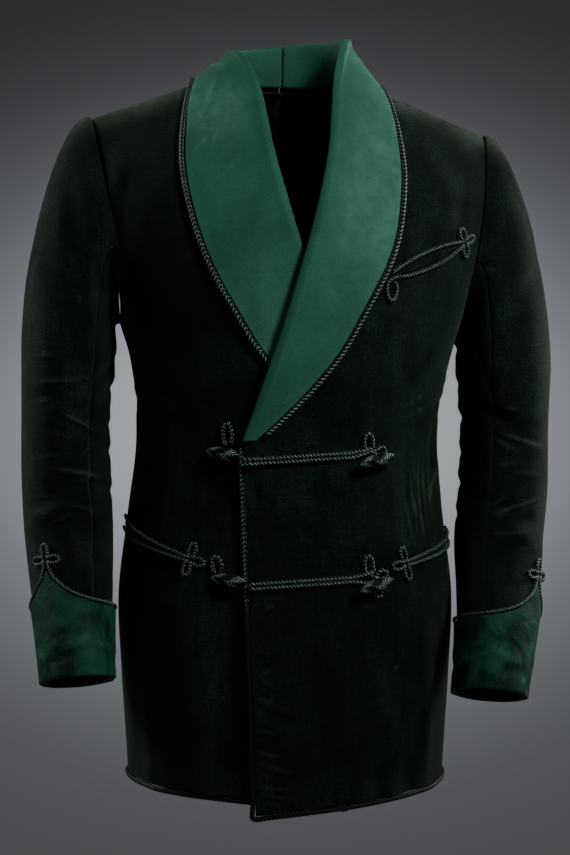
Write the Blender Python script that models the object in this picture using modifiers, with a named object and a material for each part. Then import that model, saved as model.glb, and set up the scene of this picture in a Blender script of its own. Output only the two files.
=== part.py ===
"""A double-breasted smoking jacket in green velvet, with a satin shawl collar,
satin cuffs, frog fastenings and braid, as it stands when worn.

The jacket faces -Y, its wearer's left is +X and up is +Z. The origin is the
middle of the neck base. Sizes are in metres.

The torso is one smooth form, worked out from the sections below. A place on it
is an angle round the body (0 in front, 90 degrees at the wearer's left side,
180 behind) and a level, which counts the rows of the section table upwards.
Every cloth panel is a grid on that form, thickened by Solidify.
"""

import math

import bpy
import numpy as np

# Cloth and gaps
VELVET = 0.0020
SATIN = 0.0020
SEAM_GAP = 0.0004
RIDGE_GAP = 0.0013
LAYER = 0.0034
SMALL_GAP = 0.0004

# Lengths of the left front's lift where it lies over the right one
LIFT_OVER_FRONT = 0.0055
LIFT_OVER_COLLAR = 0.0088
LIFT_STARTS_HEIGHT = -0.115
LIFT_FULL_HEIGHT = -0.185
LIFT_DROPS_HEIGHT = -0.400
LIFT_LOW_HEIGHT = -0.450
LIFT_FULL_X = 0.066
LIFT_ENDS_X = 0.135

# The torso, a row for each section from under the hem up to the shoulder ridge.
# Square: 2 is an ellipse and more is boxier. Fall: the share of the shoulder's fall.
# Columns: height, half width, depth in front, depth behind, square, fall
SECTIONS = np.array(
    [
        (-0.790, 0.159, 0.127, 0.138, 2.30, 0.00),
        (-0.700, 0.163, 0.125, 0.136, 2.30, 0.00),
        (-0.610, 0.169, 0.123, 0.134, 2.32, 0.00),
        (-0.530, 0.172, 0.120, 0.128, 2.34, 0.00),
        (-0.450, 0.163, 0.115, 0.106, 2.34, 0.00),
        (-0.375, 0.155, 0.113, 0.092, 2.32, 0.00),
        (-0.300, 0.163, 0.118, 0.102, 2.32, 0.01),
        (-0.228, 0.182, 0.123, 0.120, 2.34, 0.08),
        (-0.160, 0.200, 0.119, 0.129, 2.36, 0.24),
        (-0.098, 0.209, 0.103, 0.123, 2.36, 0.50),
        (-0.046, 0.214, 0.078, 0.100, 2.34, 0.76),
        (-0.009, 0.216, 0.052, 0.071, 2.32, 0.91),
        (0.013, 0.2175, 0.026, 0.037, 2.30, 0.98),
        (0.020, 0.218, 0.000, 0.000, 2.30, 1.00),
    ]
)
RIDGE = len(SECTIONS) - 1
SHOULDER_SLOPE = 0.385
SHOULDER_ROUND = 0.030
SHOULDER_TIP_X = 0.206

# The stance: one shoulder hangs lower and the chest leans a little to that side
SHOULDER_TILT = -0.033
CHEST_LEAN = 0.004
STANCE_FROM = -0.420
STANCE_FULL = -0.280

# Panels
SIDE_SEAM = math.radians(95)
ARMPIT_LEVEL = 6.62
ARMHOLE_WIDEST_LEVEL = 8.6
ARMHOLE_FRONT = {1: math.radians(70.5), -1: math.radians(65.5)}
ARMHOLE_BACK = math.radians(116.5)
NECK_POINT_X = 0.080
BACK_NECK_LEVEL = 11.25
HEM_SIDE = -0.711
HEM_CORNER = {1: -0.744, -1: -0.736}
HEM_BACK = -0.716
EDGE_X_AT_HEM = -0.044
BREAK_X = -0.0545
BREAK_HEIGHT = -0.380
ROLL_SLOPE = 0.30
NECK_FLARE = 0.020
NECK_FLARE_FROM = -0.060
PANEL_INNER_AT_ARMPIT = -0.275
SIDE_ROWS = 13
ARMHOLE_LOW_ROWS = 4
ARMHOLE_HIGH_ROWS = 5
FRONT_COLUMNS = 12
BACK_COLUMNS = 14
MEAN_HALF_WIDTH = 0.170
SIDE_RADIUS = 0.165

# The sleeves, a row for each ring from the armpit down to the cuff. x and y are
# the ring's middle on each arm, and rise and drop tilt the ring.
# Columns: height, x right, x left, y right, y left, half width, half depth, rise, drop
SLEEVE = np.array(
    [
        (-0.290, 0.2276, 0.2276, 0.004, 0.004, 0.0486, 0.066, 0.00, 0.00),
        (-0.350, 0.2310, 0.2290, 0.008, 0.006, 0.0450, 0.062, 0.00, 0.00),
        (-0.415, 0.2305, 0.2265, 0.006, 0.000, 0.0455, 0.061, 0.03, 0.00),
        (-0.470, 0.2285, 0.2185, -0.004, -0.016, 0.0450, 0.059, 0.10, 0.02),
        (-0.520, 0.2265, 0.2110, -0.022, -0.050, 0.0420, 0.055, 0.17, 0.05),
        (-0.570, 0.2240, 0.2005, -0.044, -0.085, 0.0375, 0.050, 0.21, 0.08),
        (-0.622, 0.2215, 0.1880, -0.067, -0.116, 0.0340, 0.046, 0.22, 0.10),
    ]
)
SLEEVE_END = len(SLEEVE) - 1
SLEEVE_STANDOFF = 0.0026
SLEEVE_SEAM_GAP = 0.0012
SLEEVE_RADIUS = 0.052
CAP_ROWS = 6
CAP_EASE = 1.15
# How far the cap leaves the armhole outwards, and the arm upwards: mean, and more at the tip
CAP_OUT = (0.0155, 0.0145)
CAP_UP = (0.0600, 0.0400)
ARM_ROWS = 12
FRONT_SEAM_COLUMN = 6
BACK_SEAM_COLUMN = 14

# Cuffs
CUFF_LIFT = 0.0034
CUFF_BASE = -0.555
CUFF_PEAK = 0.037
CUFF_PEAK_ANGLE = {1: math.radians(44), -1: math.radians(54)}
CUFF_SPREAD = math.radians(26)
CUFF_ROWS = 3
CUFF_COLUMNS = 11
COLUMN_GATHER = 1.2

# Braid
CORD = 0.0026
FINE_CORD = 0.0018
FROG_CORD = 0.0021
CORD_STEP = 8.0
EDGE_CORD_RISE = 0.0010
HEM_CORD_STOP = 0.006
TREFOIL_OUT = 0.0165
TREFOIL_IN = 0.0031
SLEEVE_GIRTH = 0.048
CUFF_TREFOIL_RISE = 0.0105
CUFF_CORD_STOP = 0.03
CUFF_CORD_ASIDE = 0.0004

# Pockets, as (girth, height) on the front
POCKET_STRIP = 0.0010
BREAST_INNER = (0.0705, -0.2050)
BREAST_OUTER = (0.1430, -0.1665)
BREAST_BOW = 0.0062
HIP_INNER_GIRTH = 0.1080
HIP_INNER_HEIGHT = {1: -0.4960, -1: -0.4900}
HIP_OUTER_GIRTH = 0.2330
HIP_OUTER_HEIGHT = {1: -0.4700, -1: -0.4560}
HIP_MOUTH = 0.0120

# Frogs: (left x, left height, right x, right height, length of the rising loop,
# of the outer loop and of the hanging one)
FROGS = {
    "upper": (-0.0560, -0.3950, 0.0620, -0.3865, 0.0175, 0.0105, 0.0),
    "lower": (-0.0500, -0.5180, 0.0640, -0.5110, 0.0185, 0.0115, 0.0130),
}
FROG_RISE_STARTS = -0.0490
FROG_RISE_ENDS = -0.0410
FROG_LOOP_WIDTH = 0.0085
TAIL_WIDTH = 0.0080
TOGGLE_RADIUS = 0.0062
# Toggle ends: x, height, and how far above the cloth's middle
LEFT_TOGGLES = {
    "upper": ((0.0535, -0.3975, 0.0134), (0.0890, -0.3880, 0.0134)),
    "lower": ((0.0540, -0.5230, 0.0140), (0.0890, -0.5125, 0.0140)),
}
RIGHT_TOGGLES = {
    "upper": ((-0.0905, -0.3835, 0.0038), (-0.0565, -0.3895, 0.0172)),
    "lower": ((-0.0865, -0.5090, 0.0047), (-0.0505, -0.5145, 0.0153)),
}
TOGGLE_LOOPS = {
    "upper": ((-0.0700, -0.3800), 0.0235),
    "lower": ((-0.0800, -0.5060), 0.0180),
}


def catmull(table, at):
    """Rows of the table read at fractional indices, along a smooth curve."""
    at = np.clip(np.asarray(at, float), 0, len(table) - 1)
    low = np.minimum(at.astype(int), len(table) - 2)
    share = (at - low)[..., None]
    padded = np.vstack([2 * table[0] - table[1], table, 2 * table[-1] - table[-2]])
    before, first, second, after = (padded[low + k] for k in range(4))
    return first + 0.5 * share * (
        second
        - before
        + share
        * (
            2 * before
            - 5 * first
            + 4 * second
            - after
            + share * (3 * (first - second) + after - before)
        )
    )


def step(low, high, value):
    """0 at low, 1 at high, and smooth between."""
    share = np.clip((value - low) / (high - low), 0, 1)
    return share * share * (3 - 2 * share)


def unit(vectors):
    return vectors / np.maximum(np.linalg.norm(vectors, axis=-1, keepdims=True), 1e-12)


def shoulder_fall(x):
    return SHOULDER_SLOPE * (np.sqrt(x * x + SHOULDER_ROUND**2) - SHOULDER_ROUND)


def body(angle, level):
    """The torso's form: a flattened ring at each level, closing into the shoulder ridge."""
    angle, level = np.broadcast_arrays(np.asarray(angle, float), np.asarray(level, float))
    height, half_width, front, back, square, fall = np.moveaxis(catmull(SECTIONS, level), -1, 0)
    across = np.sin(angle)
    ahead = np.cos(angle)
    x = half_width * across
    round_off = np.clip(1 - np.abs(across) ** square, 0, 1) ** (1 / square)
    y = -np.sign(ahead) * np.where(ahead > 0, front, back) * round_off
    return np.stack([x, y, height - fall * shoulder_fall(x)], axis=-1)


def body_normal(angle, level):
    """The direction straight out of the torso's form."""
    small = 0.02
    level = np.minimum(level, RIDGE - small / 4)
    round_it = body(angle + small, level) - body(angle - small, level)
    up_it = body(angle, level + small / 4) - body(angle, level - small)
    return unit(np.cross(round_it, up_it))


def level_at(x, height):
    """The level at which the form has this height, for points at this x."""
    levels = np.linspace(0, RIDGE, 521)
    rows = catmull(SECTIONS, levels)
    x, height = np.broadcast_arrays(np.asarray(x, float), np.asarray(height, float))
    heights = rows[:, 0] - rows[:, 5] * shoulder_fall(x.reshape(-1, 1))
    found = [np.interp(h, row, levels) for h, row in zip(height.reshape(-1), heights)]
    return np.array(found).reshape(x.shape)


def front_place(x, height):
    """(angle, level) of a place on the front, given as seen from straight ahead."""
    level = level_at(x, height)
    half_width = catmull(SECTIONS, level)[..., 1]
    return np.arcsin(np.clip(x / half_width, -1, 1)), level


def angle_place(angle, height):
    """(angle, level) of a place at this angle and height."""
    level = level_at(MEAN_HALF_WIDTH * np.sin(angle), height)
    return np.broadcast_to(angle, level.shape), level


def left_lift(x, height):
    """How far the left front stands off the torso's form, over what lies under it."""
    over = LIFT_OVER_FRONT + (LIFT_OVER_COLLAR - LIFT_OVER_FRONT) * step(
        LIFT_LOW_HEIGHT, LIFT_DROPS_HEIGHT, height
    )
    return over * step(LIFT_ENDS_X, LIFT_FULL_X, x) * step(LIFT_STARTS_HEIGHT, LIFT_FULL_HEIGHT, height)


def no_lift(x, height):
    return np.zeros(np.broadcast(x, height).shape)


# The torso's largest folds. Lean is the fold's slope in degrees from upright, and
# a positive depth stands out. Columns: angle, height, length, width, lean, depth
BODY_FOLDS = (
    (74, -0.405, 0.050, 0.008, 6, 0.0030),
    (66, -0.410, 0.045, 0.007, 4, -0.0025),
    (52, -0.660, 0.110, 0.016, -6, 0.0040),
    (30, -0.690, 0.080, 0.014, 4, -0.0035),
    (-48, -0.665, 0.110, 0.016, 5, 0.0040),
    (-70, -0.610, 0.100, 0.014, 3, -0.0035),
    (88, -0.335, 0.030, 0.008, 78, -0.0030),
    (-88, -0.338, 0.032, 0.008, -76, -0.0030),
    (128, -0.350, 0.070, 0.012, -58, -0.0030),
    (-130, -0.346, 0.070, 0.012, 56, -0.0030),
    (150, -0.660, 0.120, 0.020, 4, 0.0040),
    (-152, -0.650, 0.120, 0.020, -5, 0.0040),
)
GIRTH_RADIUS = 0.150

# Folds of the sleeves. Side is -1 on the wearer's right, and the turn goes from the
# outer side (0) over the front (90) to the inner side (180).
# Columns: side, turn, height, length, width, lean, depth
SLEEVE_FOLDS = (
    (-1, 150, -0.306, 0.036, 0.0070, 66, -0.0035),
    (-1, 120, -0.330, 0.040, 0.0080, 60, 0.0025),
    (-1, 95, -0.432, 0.034, 0.0075, 74, -0.0040),
    (-1, 60, -0.456, 0.034, 0.0080, 70, 0.0028),
    (-1, 130, -0.500, 0.030, 0.0070, -70, -0.0032),
    (1, 60, -0.205, 0.045, 0.0110, -48, -0.0040),
    (1, 110, -0.345, 0.036, 0.0080, 62, -0.0035),
    (1, 90, -0.440, 0.036, 0.0080, 72, -0.0040),
    (1, 65, -0.466, 0.034, 0.0080, 66, 0.0028),
    (-1, 270, -0.440, 0.034, 0.0090, 80, -0.0030),
    (1, 272, -0.430, 0.034, 0.0090, -80, -0.0030),
)


def fold_relief(along, height, centre, fold):
    """A soft ridge or trough: a bell across it and a gentle fade to its ends."""
    _, middle, length, width, lean, depth = fold
    lean = math.radians(lean)
    side = along - centre
    rise = height - middle
    across = side * math.cos(lean) - rise * math.sin(lean)
    length_way = side * math.sin(lean) + rise * math.cos(lean)
    return depth * np.exp(-((across / width) ** 2) - (length_way / length) ** 2)


def body_relief(angle, height):
    turn = np.angle(np.exp(1j * angle))
    total = np.zeros(turn.shape)
    for fold in BODY_FOLDS:
        near = np.angle(np.exp(1j * (turn - math.radians(fold[0]))))
        total += fold_relief(near * GIRTH_RADIUS, height, 0.0, fold)
    return total


def stance(points, share=None):
    """Tilts the shoulders and leans the chest. The sleeves take all of it."""
    points = np.array(points, float)
    if share is None:
        share = step(STANCE_FROM, STANCE_FULL, points[..., 2])
    points[..., 2] += SHOULDER_TILT * points[..., 0] * share
    points[..., 0] += CHEST_LEAN * share
    return points


def on_body(angle, level, lift=no_lift, height_above=0.0):
    """Points on the torso's cloth, lifted over what lies under it."""
    base = body(angle, level)
    off = lift(base[..., 0], base[..., 2]) + body_relief(angle, base[..., 2]) + height_above
    return base + body_normal(angle, level) * off[..., None]


def material(name, colour, roughness, sheen=0.0):
    made = bpy.data.materials.new(name)
    made.use_nodes = True
    made.diffuse_color = (*colour, 1)
    shader = made.node_tree.nodes["Principled BSDF"]
    shader.inputs["Base Color"].default_value = (*colour, 1)
    shader.inputs["Roughness"].default_value = roughness
    shader.inputs["Metallic"].default_value = 0.0
    shader.inputs["Sheen Weight"].default_value = sheen
    return made


def put(obj, finish):
    obj.data.materials.append(finish)
    JACKET.objects.link(obj)
    return obj


def shell(name, grid, thickness, finish):
    """A cloth piece: an open grid of points, thickened evenly to both sides."""
    rows, columns = grid.shape[:2]
    index = np.arange(rows * columns).reshape(rows, columns)
    faces = np.stack(
        [index[:-1, :-1], index[:-1, 1:], index[1:, 1:], index[1:, :-1]], axis=-1
    ).reshape(-1, 4)
    mesh = bpy.data.meshes.new(name)
    mesh.from_pydata(grid.reshape(-1, 3).tolist(), [], faces.tolist())
    mesh.shade_smooth()
    obj = bpy.data.objects.new(name, mesh)
    wall = obj.modifiers.new("Cloth", "SOLIDIFY")
    wall.thickness = thickness
    wall.offset = 0.0
    wall.use_quality_normals = True
    return put(obj, finish)


def cord(name, points, radius, finish):
    """A length of braid along the points."""
    curve = bpy.data.curves.new(name, "CURVE")
    curve.dimensions = "3D"
    curve.bevel_depth = radius
    curve.bevel_resolution = 2
    curve.use_fill_caps = True
    spline = curve.splines.new("POLY")
    spline.points.add(len(points) - 1)
    ends = np.column_stack([points, np.ones(len(points))])
    spline.points.foreach_set("co", ends.ravel())
    return put(bpy.data.objects.new(name, curve), finish)


def spaced(points, distance):
    """The same path with points an even distance apart, read from a smooth curve."""
    points = np.asarray(points, float)
    fine = catmull(points, np.linspace(0, len(points) - 1, 12 * len(points)))
    lengths = np.concatenate([[0], np.cumsum(np.linalg.norm(np.diff(fine, axis=0), axis=1))])
    count = max(2, round(lengths[-1] / distance) + 1)
    at = np.linspace(0, lengths[-1], count)
    return np.column_stack([np.interp(at, lengths, column) for column in fine.T])


# Edges of the panels, on the wearer's left. The right side is their mirror image


def armhole_edges(side, rows):
    """Angles of the armhole's front and back edge and their level, from the armpit up."""
    widest = ARMHOLE_FRONT[side]
    low = np.linspace(0, math.pi / 2, ARMHOLE_LOW_ROWS + 1)[:-1]
    level_low = ARMHOLE_WIDEST_LEVEL - (ARMHOLE_WIDEST_LEVEL - ARMPIT_LEVEL) * np.cos(low)
    front_low = SIDE_SEAM - (SIDE_SEAM - widest) * np.sin(low)
    back_low = SIDE_SEAM + (ARMHOLE_BACK - SIDE_SEAM) * np.sin(low)
    up = 1 - (1 - np.linspace(0, 1, rows - len(low))) ** 1.5
    level_high = ARMHOLE_WIDEST_LEVEL + (RIDGE - ARMHOLE_WIDEST_LEVEL) * up
    share = step(ARMHOLE_WIDEST_LEVEL, RIDGE, level_high)
    tip = math.asin(SHOULDER_TIP_X / SECTIONS[-1, 1])
    front_high = widest + (tip - widest) * share
    back_high = ARMHOLE_BACK + (math.pi - tip - ARMHOLE_BACK) * share
    return (
        np.concatenate([front_low, front_high]),
        np.concatenate([back_low, back_high]),
        np.concatenate([level_low, level_high]),
    )


def front_edge_x(height):
    """x of the left front's inner edge: the front edge, then the roll line up to the neck."""
    up = (height - HEM_CORNER[1]) / (BREAK_HEIGHT - HEM_CORNER[1])
    below = EDGE_X_AT_HEM + (BREAK_X - EDGE_X_AT_HEM) * np.clip(up, 0, 1)
    above = BREAK_X + ROLL_SLOPE * (height - BREAK_HEIGHT)
    flare = NECK_FLARE * (np.maximum(height - NECK_FLARE_FROM, 0) / -NECK_FLARE_FROM) ** 2
    return np.where(height < BREAK_HEIGHT, below, above + flare)


def front_grid(side):
    """(angle, level) of a front's points, from the hem up and from the edge round."""
    arm_front, _, arm_level = armhole_edges(side, ARMHOLE_LOW_ROWS + ARMHOLE_HIGH_ROWS + 1)
    hem_level = level_at(0.0, HEM_SIDE)
    side_level = np.linspace(hem_level, ARMPIT_LEVEL, SIDE_ROWS + 1)[:-1]
    outer_level = np.concatenate([side_level, arm_level])
    outer_angle = np.concatenate([np.full(SIDE_ROWS, SIDE_SEAM), arm_front])
    side_share = np.linspace(0, 1, SIDE_ROWS + 1)[:-1]
    arm_share = np.linspace(0, 1, len(arm_level))
    low = HEM_CORNER[side] + (PANEL_INNER_AT_ARMPIT - HEM_CORNER[side]) * side_share
    high = PANEL_INNER_AT_ARMPIT * (1 - arm_share)
    inner_height = np.concatenate([low, high])
    inner_angle, inner_level = front_place(front_edge_x(inner_height), inner_height)
    inner_angle[-1] = math.asin(NECK_POINT_X / SECTIONS[-1, 1])
    inner_level[-1] = RIDGE
    share = np.linspace(0, 1, FRONT_COLUMNS + 1)
    angle = inner_angle[:, None] + (outer_angle - inner_angle)[:, None] * share
    level = inner_level[:, None] + (outer_level - inner_level)[:, None] * share
    seam = SEAM_GAP / 2 / SIDE_RADIUS
    angle[: SIDE_ROWS + 1, -1] -= seam
    level[-1] -= RIDGE_GAP / 2 / SECTIONS[-2, 2]
    return angle, level


def back_grid():
    """(angle, level) of the back's points, from the hem up and from left to right."""
    _, arm_back, arm_level = armhole_edges(1, ARMHOLE_LOW_ROWS + ARMHOLE_HIGH_ROWS + 1)
    hem_level = level_at(0.0, HEM_SIDE)
    side_level = np.linspace(hem_level, ARMPIT_LEVEL, SIDE_ROWS + 1)[:-1]
    outer_level = np.concatenate([side_level, arm_level])
    outer_angle = np.concatenate([np.full(SIDE_ROWS, SIDE_SEAM), arm_back])
    share = np.linspace(0, 1, BACK_COLUMNS + 1)
    angle = outer_angle[:, None] + 2 * (math.pi - outer_angle)[:, None] * share
    x = np.abs(SECTIONS[-1, 1] * np.sin(angle[-1]))
    dip = np.clip(1 - (x / NECK_POINT_X) ** 2, 0, 1)
    top = RIDGE - (RIDGE - BACK_NECK_LEVEL) * np.sqrt(dip)
    up = (outer_level - outer_level[0]) / (RIDGE - outer_level[0])
    drop = (level_at(0.0, HEM_BACK) - hem_level) * np.sin(math.pi * share)
    level = (hem_level + drop) + (top - hem_level - drop) * up[:, None]
    seam = SEAM_GAP / 2 / SIDE_RADIUS
    angle[: SIDE_ROWS + 1, 0] += seam
    angle[: SIDE_ROWS + 1, -1] -= seam
    level[-1] -= RIDGE_GAP / 2 / SECTIONS[-2, 3]
    return angle, level


def build_body(velvet):
    angle, level = front_grid(1)
    shell("front_left", stance(on_body(angle, level, left_lift)), VELVET, velvet)
    angle, level = front_grid(-1)
    right = on_body(-angle, level)[:, ::-1]
    shell("front_right", stance(right), VELVET, velvet)
    angle, level = back_grid()
    middle = BACK_COLUMNS // 2
    seam = SEAM_GAP / 2 / SIDE_RADIUS
    for name, columns, inner in (("left", slice(0, middle + 1), -1), ("right", slice(middle, None), 0)):
        half = angle[:, columns].copy()
        half[:, inner] += -seam if name == "left" else seam
        shell("back_" + name, stance(on_body(half, level[:, columns])), VELVET, velvet)


# Sleeves


def sleeve_ring(side, turn, row):
    """A sleeve's rings, tilted with the forearm. turn 0 is outwards and 90 degrees is ahead."""
    values = np.moveaxis(catmull(SLEEVE, row), -1, 0)
    height, x_right, x_left, y_right, y_left, half_width, half_depth, rise, drop = values
    middle_x = x_left if side > 0 else x_right
    middle_y = y_left if side > 0 else y_right
    outwards = half_width * np.cos(turn)
    ahead = half_depth * np.sin(turn)
    return np.stack(
        [side * (middle_x + outwards), middle_y - ahead, height + rise * ahead - drop * outwards],
        axis=-1,
    )


def armhole_loop(side):
    """The armhole's points, from the shoulder tip over the front to the armpit and back up."""
    front, back, level = armhole_edges(side, ARMHOLE_LOW_ROWS + ARMHOLE_HIGH_ROWS + 1)
    angle = np.concatenate([front[::-1], back[1:-1]])
    level = np.concatenate([level[::-1], level[1:-1]])
    level = np.minimum(level, RIDGE - 0.01)
    points = body(angle, level) + body_normal(angle, level) * SLEEVE_STANDOFF
    return points * (side, 1, 1)


def sleeve_relief(side, turn, height):
    total = np.zeros(np.broadcast(turn, height).shape)
    for fold in SLEEVE_FOLDS:
        if fold[0] != side:
            continue
        near = np.angle(np.exp(1j * (turn - math.radians(fold[1]))))
        total += fold_relief(near * SLEEVE_RADIUS, height, 0.0, (0.0, *fold[2:]))
    return total


def sleeve_grid(side):
    """The whole sleeve: a cap that swells out of the armhole, then the arm's rings."""
    loop = armhole_loop(side)
    columns = len(loop)
    turn = np.linspace(0, 2 * math.pi, columns, endpoint=False)
    ring = sleeve_ring(side, turn, np.zeros(columns))
    out = (CAP_OUT[0] + CAP_OUT[1] * np.cos(turn))[:, None] * np.array([side, 0, 0.1])
    up = (CAP_UP[0] + CAP_UP[1] * np.cos(turn))[:, None] * np.array([0, 0, 1.0])
    share = (np.linspace(0, 1, CAP_ROWS + 1)[:-1] ** CAP_EASE)[:, None, None]
    cap = (
        (1 - share) ** 3 * loop
        + 3 * (1 - share) ** 2 * share * (loop + out)
        + 3 * (1 - share) * share**2 * (ring + up)
        + share**3 * ring
    )
    rows = np.linspace(0, SLEEVE_END, ARM_ROWS + 1)[:, None]
    arm = sleeve_ring(side, turn[None, :], rows)
    grid = np.concatenate([cap, arm])
    middle = grid.mean(axis=1, keepdims=True)
    away = unit((grid - middle) * (1, 1, 0))
    fade = step(0, 2, np.arange(len(grid)))[:, None]
    relief = sleeve_relief(side, turn[None, :], grid[..., 2]) * fade
    return grid + away * relief[..., None]


def build_sleeve(side, velvet):
    name = "left" if side > 0 else "right"
    grid = stance(sleeve_grid(side), 1.0)
    columns = grid.shape[1]
    wrap = np.concatenate([grid, grid], axis=1)
    top = wrap[:, BACK_SEAM_COLUMN : columns + FRONT_SEAM_COLUMN + 1]
    under = wrap[:, FRONT_SEAM_COLUMN : BACK_SEAM_COLUMN + 1]
    for piece, part in (("sleeve_top_", top), ("sleeve_under_", under)):
        part = part.copy()
        gap = SLEEVE_SEAM_GAP / 2
        part[:, 0] += unit(part[:, 1] - part[:, 0]) * gap
        part[:, -1] += unit(part[:, -2] - part[:, -1]) * gap
        if side > 0:
            part = part[:, ::-1]
        shell(piece + name, part, VELVET, velvet)


def cuff_top(away):
    """Height of the cuff's upper edge this far round from its point: it falls off and levels out."""
    return CUFF_BASE + CUFF_PEAK * np.exp(-np.abs(away) / CUFF_SPREAD)


def sleeve_row_at(height):
    return np.interp(-np.asarray(height), -SLEEVE[:, 0], np.arange(len(SLEEVE)))


def on_sleeve(side, turn, row, above):
    """Points lifted off a sleeve, straight away from its middle."""
    points = sleeve_ring(side, turn, row)
    away = unit(points - sleeve_ring(side, turn + math.pi, row))
    relief = sleeve_relief(side, turn, points[..., 2])
    return points + away * (relief + above)[..., None]


def build_cuff(side, satin):
    name = "left" if side > 0 else "right"
    away = math.pi * np.linspace(0, 1, CUFF_COLUMNS + 1) ** COLUMN_GATHER
    away[-1] -= SEAM_GAP / SLEEVE_GIRTH
    away = np.concatenate([-away[:0:-1], away])
    turn = CUFF_PEAK_ANGLE[side] + away
    low = np.full(turn.shape, float(SLEEVE_END))
    high = sleeve_row_at(cuff_top(away))
    share = np.linspace(0, 1, CUFF_ROWS + 1)[:, None]
    rows = low + (high - low) * share
    grid = on_sleeve(side, turn[None, :], rows, CUFF_LIFT)
    if side < 0:
        grid = grid[:, ::-1]
    shell("cuff_" + name, stance(grid, 1.0), SATIN, satin)


# The collar: each station runs from the panel's edge up the stand, over the roll
# and down to the outer edge. Roll in and roll up are the stand's reach.
# Columns: base x on the back neckline, outer x right, outer x left, outer level,
# roll in, roll up
COLLAR_BACK = np.array(
    [
        (0.0015, 0.0012, 0.0012, 9.95, 0.008, 0.040),
        (0.0300, 0.0330, 0.0320, 10.05, 0.010, 0.040),
        (0.0550, 0.0610, 0.0590, 10.45, 0.017, 0.038),
        (0.0700, 0.0790, 0.0755, 11.10, 0.022, 0.035),
        (0.0780, 0.0895, 0.0850, 12.00, 0.025, 0.032),
        (0.0800, 0.0950, 0.0900, 13.00, 0.026, 0.030),
    ]
)
# Columns: base height on the front edge, outer x right, outer x left, outer height,
# roll in, roll up
COLLAR_FRONT = np.array(
    [
        (0.000, 0.0950, 0.0900, -0.007, 0.026, 0.030),
        (-0.008, 0.1005, 0.0930, -0.018, 0.023, 0.026),
        (-0.022, 0.1070, 0.0970, -0.038, 0.019, 0.021),
        (-0.050, 0.1125, 0.1005, -0.070, 0.010, 0.011),
        (-0.085, 0.1140, 0.1015, -0.103, 0.004, 0.004),
        (-0.125, 0.1090, 0.0970, -0.140, 0.001, 0.001),
        (-0.165, 0.0985, 0.0870, -0.178, 0.000, 0.000),
        (-0.205, 0.0840, 0.0715, -0.212, 0.000, 0.000),
        (-0.245, 0.0640, 0.0530, -0.247, 0.000, 0.000),
        (-0.285, 0.0400, 0.0320, -0.285, 0.000, 0.000),
        (-0.320, 0.0110, 0.0080, -0.317, 0.000, 0.000),
        (-0.352, -0.0210, -0.0210, -0.350, 0.000, 0.000),
        (-0.374, -0.0440, -0.0440, -0.3735, 0.000, 0.000),
    ]
)
COLLAR_BACK_STATIONS = 7
COLLAR_FRONT_STATIONS = 15
COLLAR_FALL = (0.12, 0.32, 0.54, 0.77, 1.0)
COLLAR_CORD_ASIDE = 0.0006
NECK_EASE = 0.0030
RIDGE_EASE = 0.0015
STAND_TILT = 3.5
TIP_CORD_SHARE = 0.6
TURN_SMOOTHING = 12
ROLL_PUFF = 0.0042
ROLL_REACH = 0.0034
HIDDEN_FROM = -0.150
HIDDEN_FULL = -0.193
TIP_FLAT_FROM = -0.330
TIP_FLAT_FULL = -0.370


def neck_level(x):
    """Level of the back neckline at this x."""
    return RIDGE - (RIDGE - BACK_NECK_LEVEL) * np.sqrt(np.clip(1 - (x / NECK_POINT_X) ** 2, 0, 1))


def collar_stations(side):
    """(angle, level) of each station's base and outer edge, and its stand."""
    outer_x = 2 if side > 0 else 1
    back = catmull(COLLAR_BACK, np.linspace(0, len(COLLAR_BACK) - 1, COLLAR_BACK_STATIONS + 1)[:-1])
    front = catmull(COLLAR_FRONT, np.linspace(0, len(COLLAR_FRONT) - 1, COLLAR_FRONT_STATIONS + 1))
    base_x = back[:, 0]
    back_base = math.pi - np.arcsin(base_x / SECTIONS[-1, 1]), neck_level(base_x)
    half_width = catmull(SECTIONS, back[:, 3])[:, 1]
    back_outer = math.pi - np.arcsin(back[:, outer_x] / half_width), back[:, 3]
    front_base = front_place(front_edge_x(front[:, 0]), front[:, 0])
    front_outer = front_place(front[:, outer_x], front[:, 3])
    base = [np.concatenate(pair) for pair in zip(back_base, front_base)]
    outer = [np.concatenate(pair) for pair in zip(back_outer, front_outer)]
    return base, outer, np.concatenate([back, front])


def collar_strip(side, share, above):
    """Points of every station's strip on the panel, this share of the way to the outer edge."""
    base, outer, _ = collar_stations(side)
    lift = left_lift if side > 0 else no_lift
    angle = base[0] + (outer[0] - base[0]) * share
    level = base[1] + (outer[1] - base[1]) * share
    level = np.minimum(level, RIDGE - 0.004)
    return on_body(angle, level, lift, above), body_normal(angle, level)


def smoothed(rows, times):
    """The rows averaged with their neighbours, again and again; the two ends stay."""
    rows = np.array(rows)
    for _ in range(times):
        rows[1:-1] = (rows[:-2] + 2 * rows[1:-1] + rows[2:]) / 4
    return rows


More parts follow.
